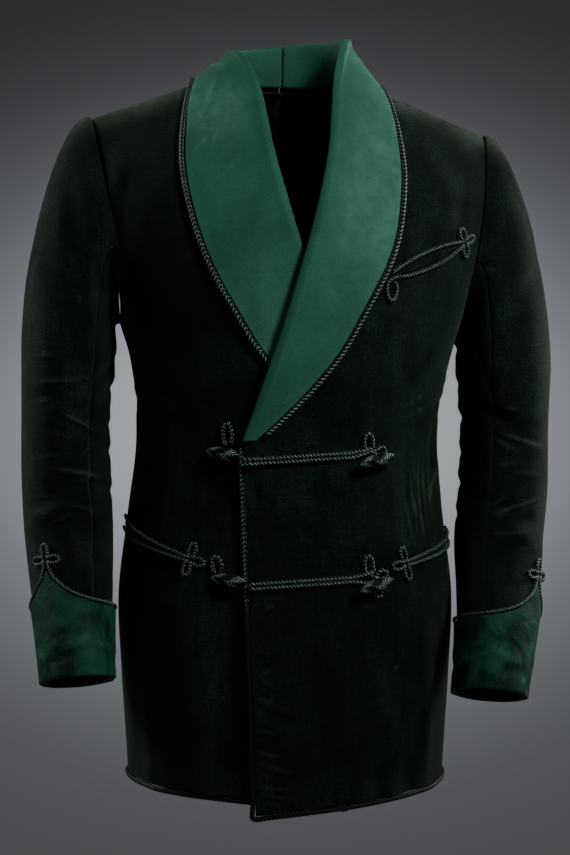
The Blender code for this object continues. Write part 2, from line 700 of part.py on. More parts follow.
def collar_grid(side):
    """The left collar's points, or the right one's before it is mirrored."""
    rows = collar_stations(side)[2]
    roll_in = rows[:, 4:5]
    panel, out = collar_strip(side, 0.0, 0.0)
    roll_up = rows[:, 5:6] * (1 + side * STAND_TILT * panel[:, :1])
    ahead, _ = collar_strip(side, COLLAR_FALL[0], 0.0)
    over = unit(ahead - panel)
    level_over = unit(smoothed(over, TURN_SMOOTHING) * (1, 1, 0))
    stand = roll_up * np.array([0, 0, 1.0]) - roll_in * level_over
    height = panel[:, 2:3]
    if side > 0:
        flat = step(TIP_FLAT_FROM, TIP_FLAT_FULL, height)
    else:
        flat = step(HIDDEN_FROM, HIDDEN_FULL, height)
    puff = ROLL_PUFF * (1 - flat)
    neck = step(0.0, 0.02, roll_up)
    low_side = panel - over * (VELVET / 2 + SMALL_GAP + NECK_EASE * neck) + out * (NECK_EASE * neck - 0.001)
    inner = panel - over * ROLL_REACH + out * (0.0015 + 0.3 * puff) + 0.6 * stand
    top = panel - over * 0.0018 + out * (LAYER + 0.5 * puff) + stand
    turned = panel + over * 0.0035 + out * (LAYER + puff) + stand
    flat_spot = panel + over * 0.0035 + out * LAYER
    columns = [low_side, inner, top, turned]
    for share in COLLAR_FALL:
        point, _ = collar_strip(side, share, LAYER)
        keep = (1 - share) ** (1.8 - 0.8 * neck)
        ease = out * NECK_EASE * neck * share
        columns.append(point + (turned - flat_spot) * keep + ease)
    return np.stack(columns, axis=1)


def build_collar(side, satin, braid):
    name = "left" if side > 0 else "right"
    grid = collar_grid(side)
    grid = grid if side > 0 else grid[:, ::-1] * (-1, 1, 1)
    shell("collar_" + name, stance(grid)[::-1], SATIN, satin)
    ridge = step(RIDGE - 1.5, RIDGE, collar_stations(side)[1][1])
    above = VELVET / 2 + 1.5 * SMALL_GAP + CORD + RIDGE_EASE * ridge
    edge, out = collar_strip(side, 1.0, above)
    beside = unit(np.cross(out, np.gradient(edge, axis=0)))
    path = edge + beside * (CORD + SMALL_GAP + COLLAR_CORD_ASIDE)
    path[0, 0] = SMALL_GAP
    path[-1] = path[-2] + (path[-1] - path[-2]) * TIP_CORD_SHARE
    path = spaced(path, CORD_STEP * CORD) * (side, 1, 1)
    cord("collar_cord_" + name, stance(path), CORD, braid)


# Braid along the front edges and the hem


def build_edge_cord(side, braid):
    name = "left" if side > 0 else "right"
    lift = left_lift if side > 0 else no_lift
    out = CORD + SMALL_GAP
    corner = HEM_CORNER[side]
    height = np.append(np.linspace(BREAK_HEIGHT - 0.001, corner + 0.010, 19), corner - 0.9 * out)
    beside = np.append(np.full(19, out), 0.9 * out)
    down = on_body(*front_place(front_edge_x(height) - beside, height), lift, EDGE_CORD_RISE)
    angle, level = front_grid(side)
    share = np.linspace(0.04, 1, 20)
    hem_angle = angle[0, 0] + (SIDE_SEAM - HEM_CORD_STOP - angle[0, 0]) * share
    hem_level = level[0, 0] + (level[0, -1] - level[0, 0]) * share
    hem = on_body(hem_angle, hem_level, lift, EDGE_CORD_RISE) - (0, 0, out)
    path = np.concatenate([down, spaced(hem, CORD_STEP * CORD)]) * (side, 1, 1)
    cord("edge_cord_" + name, stance(path), CORD, braid)


def build_back_cord(braid):
    angle, level = back_grid()
    share = np.linspace(0, 1, 28)
    start = SIDE_SEAM + HEM_CORD_STOP
    hem_angle = start + 2 * (math.pi - start) * share
    hem_level = np.interp(hem_angle, angle[0], level[0])
    hem = on_body(hem_angle, hem_level) - (0, 0, CORD + SMALL_GAP)
    cord("hem_cord_back", stance(spaced(hem, CORD_STEP * CORD)), CORD, braid)


# Shapes that the fine cord makes, drawn flat: x to the right and y up


def trefoil(stem):
    """Three loops round a middle: r = middle + swing * cos(4 turn), open at the stem."""
    turn = math.radians(stem) - np.linspace(math.radians(45), math.radians(315), 22)
    reach = (TREFOIL_OUT + TREFOIL_IN) / 2
    swing = (TREFOIL_OUT - TREFOIL_IN) / 2
    radius = reach + swing * np.cos(4 * (turn - math.radians(stem)))
    return np.column_stack([radius * np.cos(turn), radius * np.sin(turn)])


def loop(foot, direction, length, width, opening=40, points=9):
    """An oval loop that leaves its foot in this direction (degrees) and comes back."""
    way = np.array([math.cos(math.radians(direction)), math.sin(math.radians(direction))])
    across = np.array([-way[1], way[0]])
    turn = np.radians(np.linspace(opening, 360 - opening, points))
    along = (1 - np.cos(turn)) * length / 2
    return np.array(foot) + along[:, None] * way + (np.sin(turn) * width / 2)[:, None] * across


def on_front(side, path, lift, above):
    """Flat (x, height) points carried onto the wearer's left or right front."""
    path = np.asarray(path, float)
    angle, level = front_place(path[:, 0], path[:, 1])
    return on_body(angle, level, lift, above) * (side, 1, 1)


def on_front_by_girth(path, lift, above):
    """(girth, height) points carried on, where girth is the angle times a mean radius."""
    path = np.asarray(path, float)
    angle, level = angle_place(path[:, 0] / GIRTH_RADIUS, path[:, 1])
    return on_body(angle, level, lift, above)


def between(start, end, bow, count):
    """A line from start to end that bows to its left by this much."""
    share = np.linspace(0, 1, count)[:, None]
    start, end = np.array(start), np.array(end)
    way = unit(end - start)
    return start + (end - start) * share + 4 * bow * share * (1 - share) * np.array([-way[1], way[0]])


def patch(name, low, high, side, finish):
    """A thin strip of cloth between two lines on the front."""
    share = np.linspace(0, 1, 3)[:, None, None]
    flat = low * (1 - share) + high * share
    above = VELVET / 2 + SMALL_GAP + POCKET_STRIP / 2
    lift = left_lift if side > 0 else no_lift
    grid = np.stack([on_front_by_girth(row, lift, above) for row in flat]) * (side, 1, 1)
    grid = grid if side > 0 else grid[:, ::-1]
    shell(name, stance(grid), POCKET_STRIP, finish)


def build_breast_pocket(velvet, braid):
    above = VELVET / 2 + SMALL_GAP + FINE_CORD
    inner, outer = np.array(BREAST_INNER), np.array(BREAST_OUTER)
    slope = math.degrees(math.atan2(*(outer - inner)[::-1]))
    centre = outer + unit(outer - inner) * (TREFOIL_IN + 0.003)
    turned = trefoil(slope + 180) + centre
    gap = np.array([0, FINE_CORD + SMALL_GAP])
    upper = between(inner + gap, turned[0], BREAST_BOW, 8)[:-1]
    lower = between(turned[-1], inner - gap + (0.004, 0), BREAST_BOW, 8)[1:]
    hanging = loop(inner + (0.0005, -0.004), -84, 0.021, 0.0095)[::-1]
    path = np.concatenate([upper, turned, lower, hanging])
    points = on_front_by_girth(path, left_lift, above)
    cord("breast_pocket_cord", stance(points), FINE_CORD, braid)
    inset = 2.3 * FINE_CORD
    low = between(inner + (0.011, 0.003), outer - (0.004, 0.002), -BREAST_BOW + inset, 8) - (0, 0.0005)
    high = between(inner + (0.011, 0.003), outer - (0.004, 0.002), BREAST_BOW - inset, 8) + (0, 0.0005)
    patch("breast_pocket_welt", low, high, 1, velvet)


def build_hip_pocket(side, velvet, braid):
    name = "left" if side > 0 else "right"
    above = VELVET / 2 + SMALL_GAP + FINE_CORD
    inner = np.array((HIP_INNER_GIRTH, HIP_INNER_HEIGHT[side]))
    outer = np.array((HIP_OUTER_GIRTH, HIP_OUTER_HEIGHT[side]))
    slope = math.degrees(math.atan2(*(outer - inner)[::-1]))
    turned = (trefoil(slope) + inner - unit(outer - inner) * (TREFOIL_IN + 0.002))[::-1]
    spread = np.array([0, HIP_MOUTH / 2])
    upper = between(outer + spread, turned[0], 0.0, 9)[:-1]
    lower = between(turned[-1], outer - spread, 0.0, 9)[1:]
    path = np.concatenate([upper, turned, lower])
    lift = left_lift if side > 0 else no_lift
    points = on_front_by_girth(path, lift, above) * (side, 1, 1)
    cord("hip_pocket_cord_" + name, stance(points), FINE_CORD, braid)
    inset = np.array([0, 1.5 * FINE_CORD])
    start = inner + unit(outer - inner) * 0.014
    low = between(start - (0, 0.0006), outer - spread + inset, 0.0, 10)
    high = between(start + (0, 0.0006), outer + spread - inset, 0.0, 10)
    patch("hip_pocket_welt_" + name, low, high, side, velvet)


def build_frog(name, frog, braid):
    """Doubled cord from the left front's edge to its toggle, with loops at its far end."""
    left_x, left_z, right_x, right_z, up_length, out_length, tail_length = frog
    apart = np.array([0, FROG_CORD + SMALL_GAP / 2])
    start, end = np.array((left_x, left_z)), np.array((right_x, right_z))
    upper = between(start + apart, end + apart, 0.0, 11)
    lower = between(end - apart, start - apart, 0.0, 11)
    rising = loop(end + (0.004, 0.004), 94, up_length, FROG_LOOP_WIDTH)[::-1]
    outwards = loop(end + (0.011, 0.001), 22, out_length, FROG_LOOP_WIDTH, 50)[::-1]
    parts = [upper[:-1], rising, outwards]
    if tail_length:
        parts.append(loop(end + (0.008, -0.006), -62, tail_length, TAIL_WIDTH, 50)[::-1])
    path = np.concatenate([*parts, lower[1:]])
    over = step(FROG_RISE_ENDS, FROG_RISE_STARTS, path[:, 0]) * 2 * (CORD + SMALL_GAP)
    above = VELVET / 2 + 1.8 * SMALL_GAP + FROG_CORD + over
    points = on_front(1, path, left_lift, above)
    cord(name, stance(points), FROG_CORD, braid)


def build_toggle(name, ends, lift, braid):
    """A knot of cord: an oval solid between two places (x, height, above the cloth)."""
    ends = np.array(ends)
    points = stance(on_front(1, ends[:, :2], lift, ends[:, 2]))
    middle = points.mean(axis=0)
    along = points[1] - points[0]
    bpy.ops.mesh.primitive_uv_sphere_add(segments=10, ring_count=7, radius=1)
    made = bpy.context.object
    for scene_collection in list(made.users_collection):
        scene_collection.objects.unlink(made)
    made.name = name
    made.data.name = name
    long_way = unit(along)
    deep = unit(np.cross(long_way, (0, 0, 1)))
    wide = np.cross(long_way, deep)
    place = np.column_stack(
        [deep * TOGGLE_RADIUS, wide * TOGGLE_RADIUS, long_way * np.linalg.norm(along) / 2]
    )
    corners = np.empty(len(made.data.vertices) * 3)
    made.data.vertices.foreach_get("co", corners)
    turned = corners.reshape(-1, 3) @ place.T + middle
    made.data.vertices.foreach_set("co", turned.ravel())
    made.data.shade_smooth()
    put(made, braid)


def build_toggle_loop(name, place, length, braid):
    """The small loop that stands up from under a toggle on the right front."""
    path = loop(place, 96, length, FROG_LOOP_WIDTH, 30, 11)
    above = VELVET / 2 + SMALL_GAP + FROG_CORD
    cord(name, stance(on_front(1, path, no_lift, above)), FROG_CORD, braid)


def build_cuff_cord(side, braid):
    """Braid over the cuff's upper edge, looped into a trefoil at the point."""
    name = "left" if side > 0 else "right"
    away = (math.pi - CUFF_CORD_STOP) * np.linspace(1, 0, 15)[:-1] ** COLUMN_GATHER
    arc = away * SLEEVE_GIRTH
    edge = cuff_top(away)
    slope = np.gradient(edge, arc)
    rise = (FINE_CORD + SMALL_GAP + CUFF_CORD_ASIDE) * np.sqrt(1 + slope**2)
    after = np.column_stack([arc + CUFF_CORD_ASIDE, edge + rise])[::-1]
    before = after[::-1] * (-1, 1)
    top = np.array((0, CUFF_BASE + CUFF_PEAK + CUFF_TREFOIL_RISE))
    turned = trefoil(-90) + top
    if turned[0, 0] > turned[-1, 0]:
        turned = turned[::-1]
    path = np.concatenate([before, turned, after])
    turn = CUFF_PEAK_ANGLE[side] + path[:, 0] / SLEEVE_GIRTH
    above = np.full(len(path), VELVET / 2 + 2 * SMALL_GAP + FINE_CORD)
    points = on_sleeve(side, turn, sleeve_row_at(path[:, 1]), above)
    cord("cuff_cord_" + name, stance(points, 1.0), FINE_CORD, braid)


for old in list(bpy.data.objects):
    bpy.data.objects.remove(old)
JACKET = bpy.data.collections.new("Smoking jacket")
bpy.context.scene.collection.children.link(JACKET)

green_velvet = material("Green velvet", (0.010, 0.030, 0.020), 0.9, 0.5)
green_satin = material("Green satin", (0.020, 0.130, 0.065), 0.35)
green_braid = material("Green braid", (0.012, 0.045, 0.030), 0.6)

build_body(green_velvet)
for arm in (-1, 1):
    build_sleeve(arm, green_velvet)
    build_cuff(arm, green_satin)
    build_cuff_cord(arm, green_braid)
    build_collar(arm, green_satin, green_braid)
    build_edge_cord(arm, green_braid)
    build_hip_pocket(arm, green_velvet, green_braid)
build_back_cord(green_braid)
build_breast_pocket(green_velvet, green_braid)
for level_name, row in FROGS.items():
    build_frog("frog_" + level_name, row, green_braid)
    build_toggle("toggle_left_" + level_name, LEFT_TOGGLES[level_name], left_lift, green_braid)
    build_toggle("toggle_right_" + level_name, RIGHT_TOGGLES[level_name], no_lift, green_braid)
    build_toggle_loop("toggle_loop_" + level_name, *TOGGLE_LOOPS[level_name], green_braid)
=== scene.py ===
# %% [markdown]
# # A green velvet smoking jacket
#
# The real jacket is cut from silk velvet, with a shawl collar and cuffs of satin, and
# every edge is finished with braided cord. This lesson dresses the plain solids of the
# frame: each cloth piece becomes a finer sheet with its creases, each cord becomes a
# real plait, and the finishes follow the cloth.

# %% Load the frame
import math

import bpy
import numpy as np
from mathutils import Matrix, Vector


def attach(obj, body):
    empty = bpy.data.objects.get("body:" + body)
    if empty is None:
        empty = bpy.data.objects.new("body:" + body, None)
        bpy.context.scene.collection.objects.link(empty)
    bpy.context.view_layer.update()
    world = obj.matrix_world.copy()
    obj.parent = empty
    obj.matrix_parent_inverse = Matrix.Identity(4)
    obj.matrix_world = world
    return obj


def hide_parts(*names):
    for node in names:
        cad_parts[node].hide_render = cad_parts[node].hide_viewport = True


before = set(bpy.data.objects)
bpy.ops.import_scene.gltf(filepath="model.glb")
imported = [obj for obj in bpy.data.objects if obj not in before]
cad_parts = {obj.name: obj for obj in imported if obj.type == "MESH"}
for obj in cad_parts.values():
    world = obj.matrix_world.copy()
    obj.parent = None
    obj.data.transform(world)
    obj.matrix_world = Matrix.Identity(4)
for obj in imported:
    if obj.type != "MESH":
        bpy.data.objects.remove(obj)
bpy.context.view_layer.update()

print("solids in the frame:", len(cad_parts))

# %% [markdown]
# ## Reading a smooth curve from a short table
#
# A tailor draws a body from a few measured sections and lets the curve run between
# them. The same is done here: a table holds a row for each section, and a smooth curve
# through the rows gives every place between them.


# %% Smooth curves
def catmull(table, at):
    """Rows read at fractional indices: a cubic through each pair of rows, with the slope
    at a row half the difference of its neighbours."""
    at = np.clip(np.asarray(at, float), 0, len(table) - 1)
    low = np.minimum(at.astype(int), len(table) - 2)
    share = (at - low).reshape(at.shape + (1,) * (table.ndim - 1))
    padded = np.concatenate([2 * table[:1] - table[1:2], table, 2 * table[-1:] - table[-2:-1]])
    before, first, second, after = (padded[low + k] for k in range(4))
    cubic = 3 * (first - second) + after - before
    square = 2 * before - 5 * first + 4 * second - after
    return first + 0.5 * share * (second - before + share * (square + share * cubic))


def step(low, high, value):
    """0 at low, 1 at high, and 3s^2 - 2s^3 of the share s between."""
    share = np.clip((value - low) / (high - low), 0, 1)
    return share * share * (3 - 2 * share)


def unit(vectors):
    """Each vector divided by its length."""
    return vectors / np.maximum(np.linalg.norm(vectors, axis=-1, keepdims=True), 1e-12)


# %% [markdown]
# ## The torso's form
#
# These are the sizes that the solids were made from. A place on the jacket is an angle
# round the body (0 in front, 90 degrees at the wearer's left side) and a level, which
# counts the sections upwards. The top section has no depth: it is the shoulder ridge.

# %% Sizes shared with the solids
VELVET = 0.0020
SEAM_GAP = 0.0004
RIDGE_GAP = 0.0013
LAYER = 0.0034
SMALL_GAP = 0.0004
LIFT_OVER_FRONT = 0.0055
LIFT_OVER_COLLAR = 0.0088
# Columns: height, half width, depth in front, depth behind, square, fall
SECTIONS = np.array(
    [
        (-0.790, 0.159, 0.127, 0.138, 2.30, 0.00),
        (-0.700, 0.163, 0.125, 0.136, 2.30, 0.00),
        (-0.610, 0.169, 0.123, 0.134, 2.32, 0.00),
        (-0.530, 0.172, 0.120, 0.128, 2.34, 0.00),
        (-0.450, 0.163, 0.115, 0.106, 2.34, 0.00),
        (-0.375, 0.155, 0.113, 0.092, 2.32, 0.00),
        (-0.300, 0.163, 0.118, 0.102, 2.32, 0.01),
        (-0.228, 0.182, 0.123, 0.120, 2.34, 0.08),
        (-0.160, 0.200, 0.119, 0.129, 2.36, 0.24),
        (-0.098, 0.209, 0.103, 0.123, 2.36, 0.50),
        (-0.046, 0.214, 0.078, 0.100, 2.34, 0.76),
        (-0.009, 0.216, 0.052, 0.071, 2.32, 0.91),
        (0.013, 0.2175, 0.026, 0.037, 2.30, 0.98),
        (0.020, 0.218, 0.000, 0.000, 2.30, 1.00),
    ]
)
RIDGE = len(SECTIONS) - 1
SIDE_SEAM = math.radians(95)
ARMPIT_LEVEL = 6.62
WIDEST_LEVEL = 8.6
ARMHOLE_FRONT = {1: math.radians(70.5), -1: math.radians(65.5)}
ARMHOLE_BACK = math.radians(116.5)
NECK_POINT_X = 0.080
BACK_NECK_LEVEL = 11.25
HEM_SIDE, HEM_BACK, HEM_CORNER = -0.711, -0.716, {1: -0.744, -1: -0.736}
EDGE_X_AT_HEM, BREAK_X, BREAK_HEIGHT = -0.044, -0.0545, -0.380
GIRTH_RADIUS = 0.150
SHOULDER_SLOPE, SHOULDER_SOFTNESS = 0.385, 0.030
SHOULDER_DROP, CHEST_LEAN = 0.033, 0.004
SIDE_NAMES = {1: "left", -1: "right"}
print("chest circumference, about", round(2 * math.pi * math.hypot(0.2, 0.121) / math.sqrt(2), 2), "m")


# %% A place on the torso
def shoulder_fall(x):
    """A slope that starts softly: slope * (sqrt(x^2 + r^2) - r)."""
    return SHOULDER_SLOPE * (np.sqrt(x * x + SHOULDER_SOFTNESS**2) - SHOULDER_SOFTNESS)


def body(angle, level):
    """x = half width * sin, y = depth * (1 - |sin|^n)^(1/n), z = height - fall."""
    angle, level = np.broadcast_arrays(np.asarray(angle, float), np.asarray(level, float))
    height, half_width, front, back, square, fall = np.moveaxis(catmull(SECTIONS, level), -1, 0)
    across, ahead = np.sin(angle), np.cos(angle)
    x = half_width * across
    round_off = np.clip(1 - np.abs(across) ** square, 0, 1) ** (1 / square)
    y = -np.sign(ahead) * np.where(ahead > 0, front, back) * round_off
    return np.stack([x, y, height - fall * shoulder_fall(x)], axis=-1)


def body_normal(angle, level):
    """The cross product of a small step round the form and a small step up it."""
    small = 0.02
    level = np.minimum(level, RIDGE - small / 4)
    round_it = body(angle + small, level) - body(angle - small, level)
    up_it = body(angle, level + small / 4) - body(angle, level - small)
    return unit(np.cross(round_it, up_it))


LEVELS = np.linspace(0, RIDGE, 521)
LEVEL_ROWS = catmull(SECTIONS, LEVELS)


def level_at(x, height):
    """The level whose height minus its share of the shoulder's fall is this height."""
    x, height = np.broadcast_arrays(np.asarray(x, float), np.asarray(height, float))
    heights = LEVEL_ROWS[:, 0] - LEVEL_ROWS[:, 5] * shoulder_fall(x.reshape(-1, 1))
    over = np.clip((heights < height.reshape(-1, 1)).sum(axis=1), 1, len(LEVELS) - 1)
    pick = np.arange(len(over))
    low, high = heights[pick, over - 1], heights[pick, over]
    share = np.clip((height.reshape(-1) - low) / np.maximum(high - low, 1e-9), 0, 1)
    return (LEVELS[over - 1] + share * (LEVELS[1] - LEVELS[0])).reshape(x.shape)


def front_place(x, height):
    """(angle, level) of a place on the front, given as seen from straight ahead."""
    level = level_at(x, height)
    half_width = catmull(SECTIONS, level)[..., 1]
    return np.arcsin(np.clip(x / half_width, -1, 1)), level


def angle_place(angle, height):
    """(angle, level) of a place at this angle and height."""
    level = level_at(0.17 * np.sin(angle), height)
    return np.broadcast_to(angle, level.shape), level


def left_lift(x, height):
    """The left front stands off what lies under it, more over the collar than below."""
    over = LIFT_OVER_FRONT + (LIFT_OVER_COLLAR - LIFT_OVER_FRONT) * step(-0.450, -0.400, height)
    return over * step(0.135, 0.066, x) * step(-0.115, -0.185, height)


def no_lift(x, height):
    """The right front and the back lie on the form itself."""
    return np.zeros(np.broadcast(x, height).shape)


LIFTS = {1: left_lift, -1: no_lift}


def stance(points, share=None):
    """One shoulder hangs lower and the chest leans: z loses drop * x and x gains lean."""
    points = np.array(points, float)
    if share is None:
        share = step(-0.420, -0.280, points[..., 2])
    points[..., 2] -= SHOULDER_DROP * points[..., 0] * share
    points[..., 0] += CHEST_LEAN * share
    return points


# %% [markdown]
# ## Creases placed one by one
#
# Velvet creases where the body bends and where a seam or a fastening pulls it. Noise
# would look like bark, so each crease has its own row in a table: where its middle is,
# how long and how wide it is, which way it leans, how deep it is and how it bows. The
# first rows are the solids' largest folds, and the others follow the photograph.

# %% Creases of the body
# Columns: x, height, length, width, lean, depth, bow. Lean is in degrees from upright
LEFT_FRONT_CREASES = (
    (0.1330, -0.4300, 0.0340, 0.0017, -6, 0.0012, 0.03),
    (0.1270, -0.4360, 0.0420, 0.0017, -5, 0.0013, 0.03),
    (0.1195, -0.4420, 0.0360, 0.0016, -9, 0.0011, 0.02),
    (0.1120, -0.4480, 0.0300, 0.0018, -13, 0.0010, 0.0),
    (0.1390, -0.4250, 0.0260, 0.0016, -3, 0.0012, 0.0),
    (0.1300, -0.4380, 0.0380, 0.0040, -6, -0.0010, 0.0),
    (0.1230, -0.4480, 0.0240, 0.0020, -26, 0.0009, 0.0),
    (0.1440, -0.4180, 0.0200, 0.0030, 24, 0.0010, 0.0),
    (0.1420, -0.3120, 0.0220, 0.0040, 62, 0.0012, 0.10),
    (0.1480, -0.3300, 0.0200, 0.0036, 66, -0.0012, 0.05),
    (0.1300, -0.2950, 0.0260, 0.0060, 48, 0.0010, 0.0),
    (-0.0446, -0.4290, 0.0085, 0.0042, 6, -0.0034, 0.0),
    (-0.0406, -0.4740, 0.0050, 0.0036, 0, -0.0022, 0.0),
    (0.1160, -0.3300, 0.0160, 0.0017, 55, 0.0011, 0.05),
    (0.1240, -0.3390, 0.0140, 0.0017, 60, 0.0010, 0.0),
    (0.0974, -0.6005, 0.0030, 0.0017, 60, 0.0012, 0.0),
    (-0.0380, -0.5870, 0.0120, 0.0026, 104, -0.0016, 0.0),
    (-0.0360, -0.6010, 0.0090, 0.0022, 98, 0.0009, 0.0),
    (-0.0330, -0.6180, 0.0140, 0.0026, 108, -0.0018, 0.0),
    (-0.0350, -0.6290, 0.0100, 0.0022, 96, 0.0009, 0.0),
    (-0.0300, -0.6420, 0.0190, 0.0032, 112, -0.0024, -0.05),
    (-0.0240, -0.6560, 0.0230, 0.0036, 110, 0.0014, -0.05),
    (-0.0330, -0.6660, 0.0140, 0.0026, 100, -0.0018, 0.0),
    (-0.0310, -0.6830, 0.0130, 0.0028, 104, 0.0009, 0.0),
    (-0.0280, -0.7020, 0.0180, 0.0030, 108, -0.0020, 0.0),
    (-0.0260, -0.7160, 0.0150, 0.0028, 98, 0.0009, 0.0),
    (-0.0290, -0.7290, 0.0140, 0.0026, 104, -0.0016, 0.0),
    (0.0300, -0.7300, 0.0160, 0.0080, 8, -0.0022, 0.0),
    (0.0620, -0.7230, 0.0180, 0.0090, -6, 0.0018, 0.0),
    (0.1080, -0.7130, 0.0220, 0.0090, -8, -0.0020, 0.0),
    (0.0850, -0.6400, 0.0500, 0.0120, -14, 0.0016, 0.0),
    (0.0150, -0.6600, 0.0600, 0.0140, 6, -0.0014, 0.0),
    (-0.0350, -0.5420, 0.0160, 0.0028, 102, -0.0018, 0.0),
    (-0.0300, -0.4800, 0.0110, 0.0030, 80, -0.0008, 0.0),
    (0.0500, -0.4100, 0.0260, 0.0050, 84, -0.0008, 0.0),
    (0.0560, -0.5350, 0.0300, 0.0060, 82, -0.0010, 0.0),
    (0.1060, -0.1300, 0.0340, 0.0090, 20, -0.0010, 0.0),
    (0.1650, -0.1500, 0.0400, 0.0080, 10, -0.0016, 0.0),
)
RIGHT_FRONT_CREASES = (
    (-0.1780, -0.1350, 0.0500, 0.0060, 12, -0.0020, 0.0),
    (-0.1660, -0.1650, 0.0500, 0.0100, 16, 0.0016, 0.0),
    (-0.1500, -0.2400, 0.0600, 0.0100, 10, -0.0012, 0.0),
    (-0.1420, -0.3250, 0.0240, 0.0044, -64, -0.0012, -0.05),
    (-0.1380, -0.3420, 0.0220, 0.0040, -70, 0.0012, 0.0),
    (-0.1320, -0.4380, 0.0340, 0.0040, 6, 0.0012, 0.0),
    (-0.0740, -0.6400, 0.0900, 0.0100, 2, -0.0042, 0.0),
    (-0.0990, -0.6400, 0.0900, 0.0140, -2, 0.0044, 0.0),
    (-0.1240, -0.6450, 0.0500, 0.0080, 4, -0.0012, 0.0),
    (-0.1230, -0.5900, 0.0260, 0.0080, 30, 0.0012, 0.0),
)
# On the hidden sides x is the girth from the centre back, towards the wearer's left
BACK_CREASES = (
    (-0.0950, -0.3300, 0.0300, 0.0050, -62, -0.0014, 0.10),
    (-0.0900, -0.3550, 0.0340, 0.0050, -66, 0.0013, 0.10),
    (0.0900, -0.3350, 0.0320, 0.0050, 60, -0.0014, -0.10),
    (0.0940, -0.3600, 0.0340, 0.0055, 64, 0.0013, -0.10),
    (-0.0250, -0.3800, 0.0260, 0.0060, 80, 0.0012, 0.05),
    (0.0300, -0.3950, 0.0280, 0.0055, -78, -0.0012, 0.0),
    (-0.1350, -0.1700, 0.0500, 0.0080, -14, -0.0018, 0.0),
    (0.1380, -0.1650, 0.0520, 0.0080, 12, -0.0018, 0.0),
    (-0.0600, -0.6500, 0.0700, 0.0130, 4, 0.0016, 0.0),
    (0.0450, -0.6400, 0.0800, 0.0140, -3, -0.0014, 0.0),
    (0.1100, -0.6600, 0.0600, 0.0110, -5, 0.0016, 0.0),
)
# The solids' folds. Columns: angle, height, length, width, lean, depth
BODY_FOLDS = (
    (74, -0.405, 0.050, 0.008, 6, 0.0030),
    (66, -0.410, 0.045, 0.007, 4, -0.0025),
    (52, -0.660, 0.110, 0.016, -6, 0.0040),
    (30, -0.690, 0.080, 0.014, 4, -0.0035),
    (-48, -0.665, 0.110, 0.016, 5, 0.0040),
    (-70, -0.610, 0.100, 0.014, 3, -0.0035),
    (88, -0.335, 0.030, 0.008, 78, -0.0030),
    (-88, -0.338, 0.032, 0.008, -76, -0.0030),
    (128, -0.350, 0.070, 0.012, -58, -0.0030),
    (-130, -0.346, 0.070, 0.012, 56, -0.0030),
    (150, -0.660, 0.120, 0.020, 4, 0.0040),
    (-152, -0.650, 0.120, 0.020, -5, 0.0040),
)
print("creases by hand:", len(LEFT_FRONT_CREASES) + len(RIGHT_FRONT_CREASES) + len(BACK_CREASES))


# %% The shape of one crease
def turned_from(turn, middle):
    """The angle from middle to turn, the short way round."""
    return np.angle(np.exp(1j * (turn - middle)))


def fold_relief(along, height, fold):
    """A bell across the fold times a bell along it: depth * exp(-(a/w)^2 - (l/L)^2)."""
    _, middle, length, width, lean, depth = fold
    lean = math.radians(lean)
    rise = height - middle
    across = along * math.cos(lean) - rise * math.sin(lean)
    length_way = along * math.sin(lean) + rise * math.cos(lean)
    return depth * np.exp(-((across / width) ** 2) - (length_way / length) ** 2)


def body_relief(angle, height):
    """The sum of the solids' folds at this angle and height."""
    turn = turned_from(angle, 0)
    total = np.zeros(turn.shape)
    for fold in BODY_FOLDS:
        near = turned_from(turn, math.radians(fold[0]))
        total += fold_relief(near * GIRTH_RADIUS, height, fold)
    return total


def crease_relief(x, height, table):
    """A ridge with one steep side and a dip beside it, bent along a bow: with
    n = (across - bow * l^2 / L) / w, it is depth * exp(-|l/L|^2.6) times
    exp(-n^2) * (1 + 0.5 tanh n) - 0.5 exp(-(n + 1.7)^2)."""
    total = np.zeros(x.shape)
    for middle_x, middle, length, width, lean, depth, bow in table:
        lean = math.radians(lean)
        side = x - middle_x
        rise = height - middle
        length_way = side * math.sin(lean) + rise * math.cos(lean)
        across = side * math.cos(lean) - rise * math.sin(lean) - bow * length_way**2 / length
        near = across / width
        ridge = np.exp(-(near**2)) * (1 + 0.5 * np.tanh(near)) - 0.5 * np.exp(-((near + 1.7) ** 2))
        total += depth * ridge * np.exp(-(np.abs(length_way / length) ** 2.6))
    return total


def on_body(angle, level, lift=no_lift, above=0.0):
    """The form's point moved out along its normal by the lift, the folds and above."""
    base = body(angle, level)
    off = lift(base[..., 0], base[..., 2]) + body_relief(angle, base[..., 2]) + above
    return base + body_normal(angle, level) * off[..., None]


# %% [markdown]
# ## A cloth piece as a sheet
#
# A cut piece of cloth is a sheet with a warp and a weft. Here it is a grid of points
# that becomes a mesh with three more things: a UV map in metres, so that a weave keeps
# its scale, a value at each point that pales the cloth, where the nap is rubbed and where
# painted sheen stands in for the light on it, and a thin wall from Solidify, with a
# second finish on the inside.


# %% The sheet maker
def arc_map(grid):
    """Metres along each row from its middle column, and up each column from the hem."""
    along = np.linalg.norm(np.diff(grid, axis=1), axis=2)
    u = np.pad(np.cumsum(along, axis=1), ((0, 0), (1, 0)))
    u = u - u[:, grid.shape[1] // 2][:, None]
    up = np.linalg.norm(np.diff(grid, axis=0), axis=2)
    v = np.pad(np.cumsum(up, axis=0), ((1, 0), (0, 0)))
    return np.stack([u, v], axis=-1)


def in_scene(name, data):
    """A new object that shows this mesh, light or camera."""
    made = bpy.data.objects.new(name, data)
    bpy.context.scene.collection.objects.link(made)
    return made


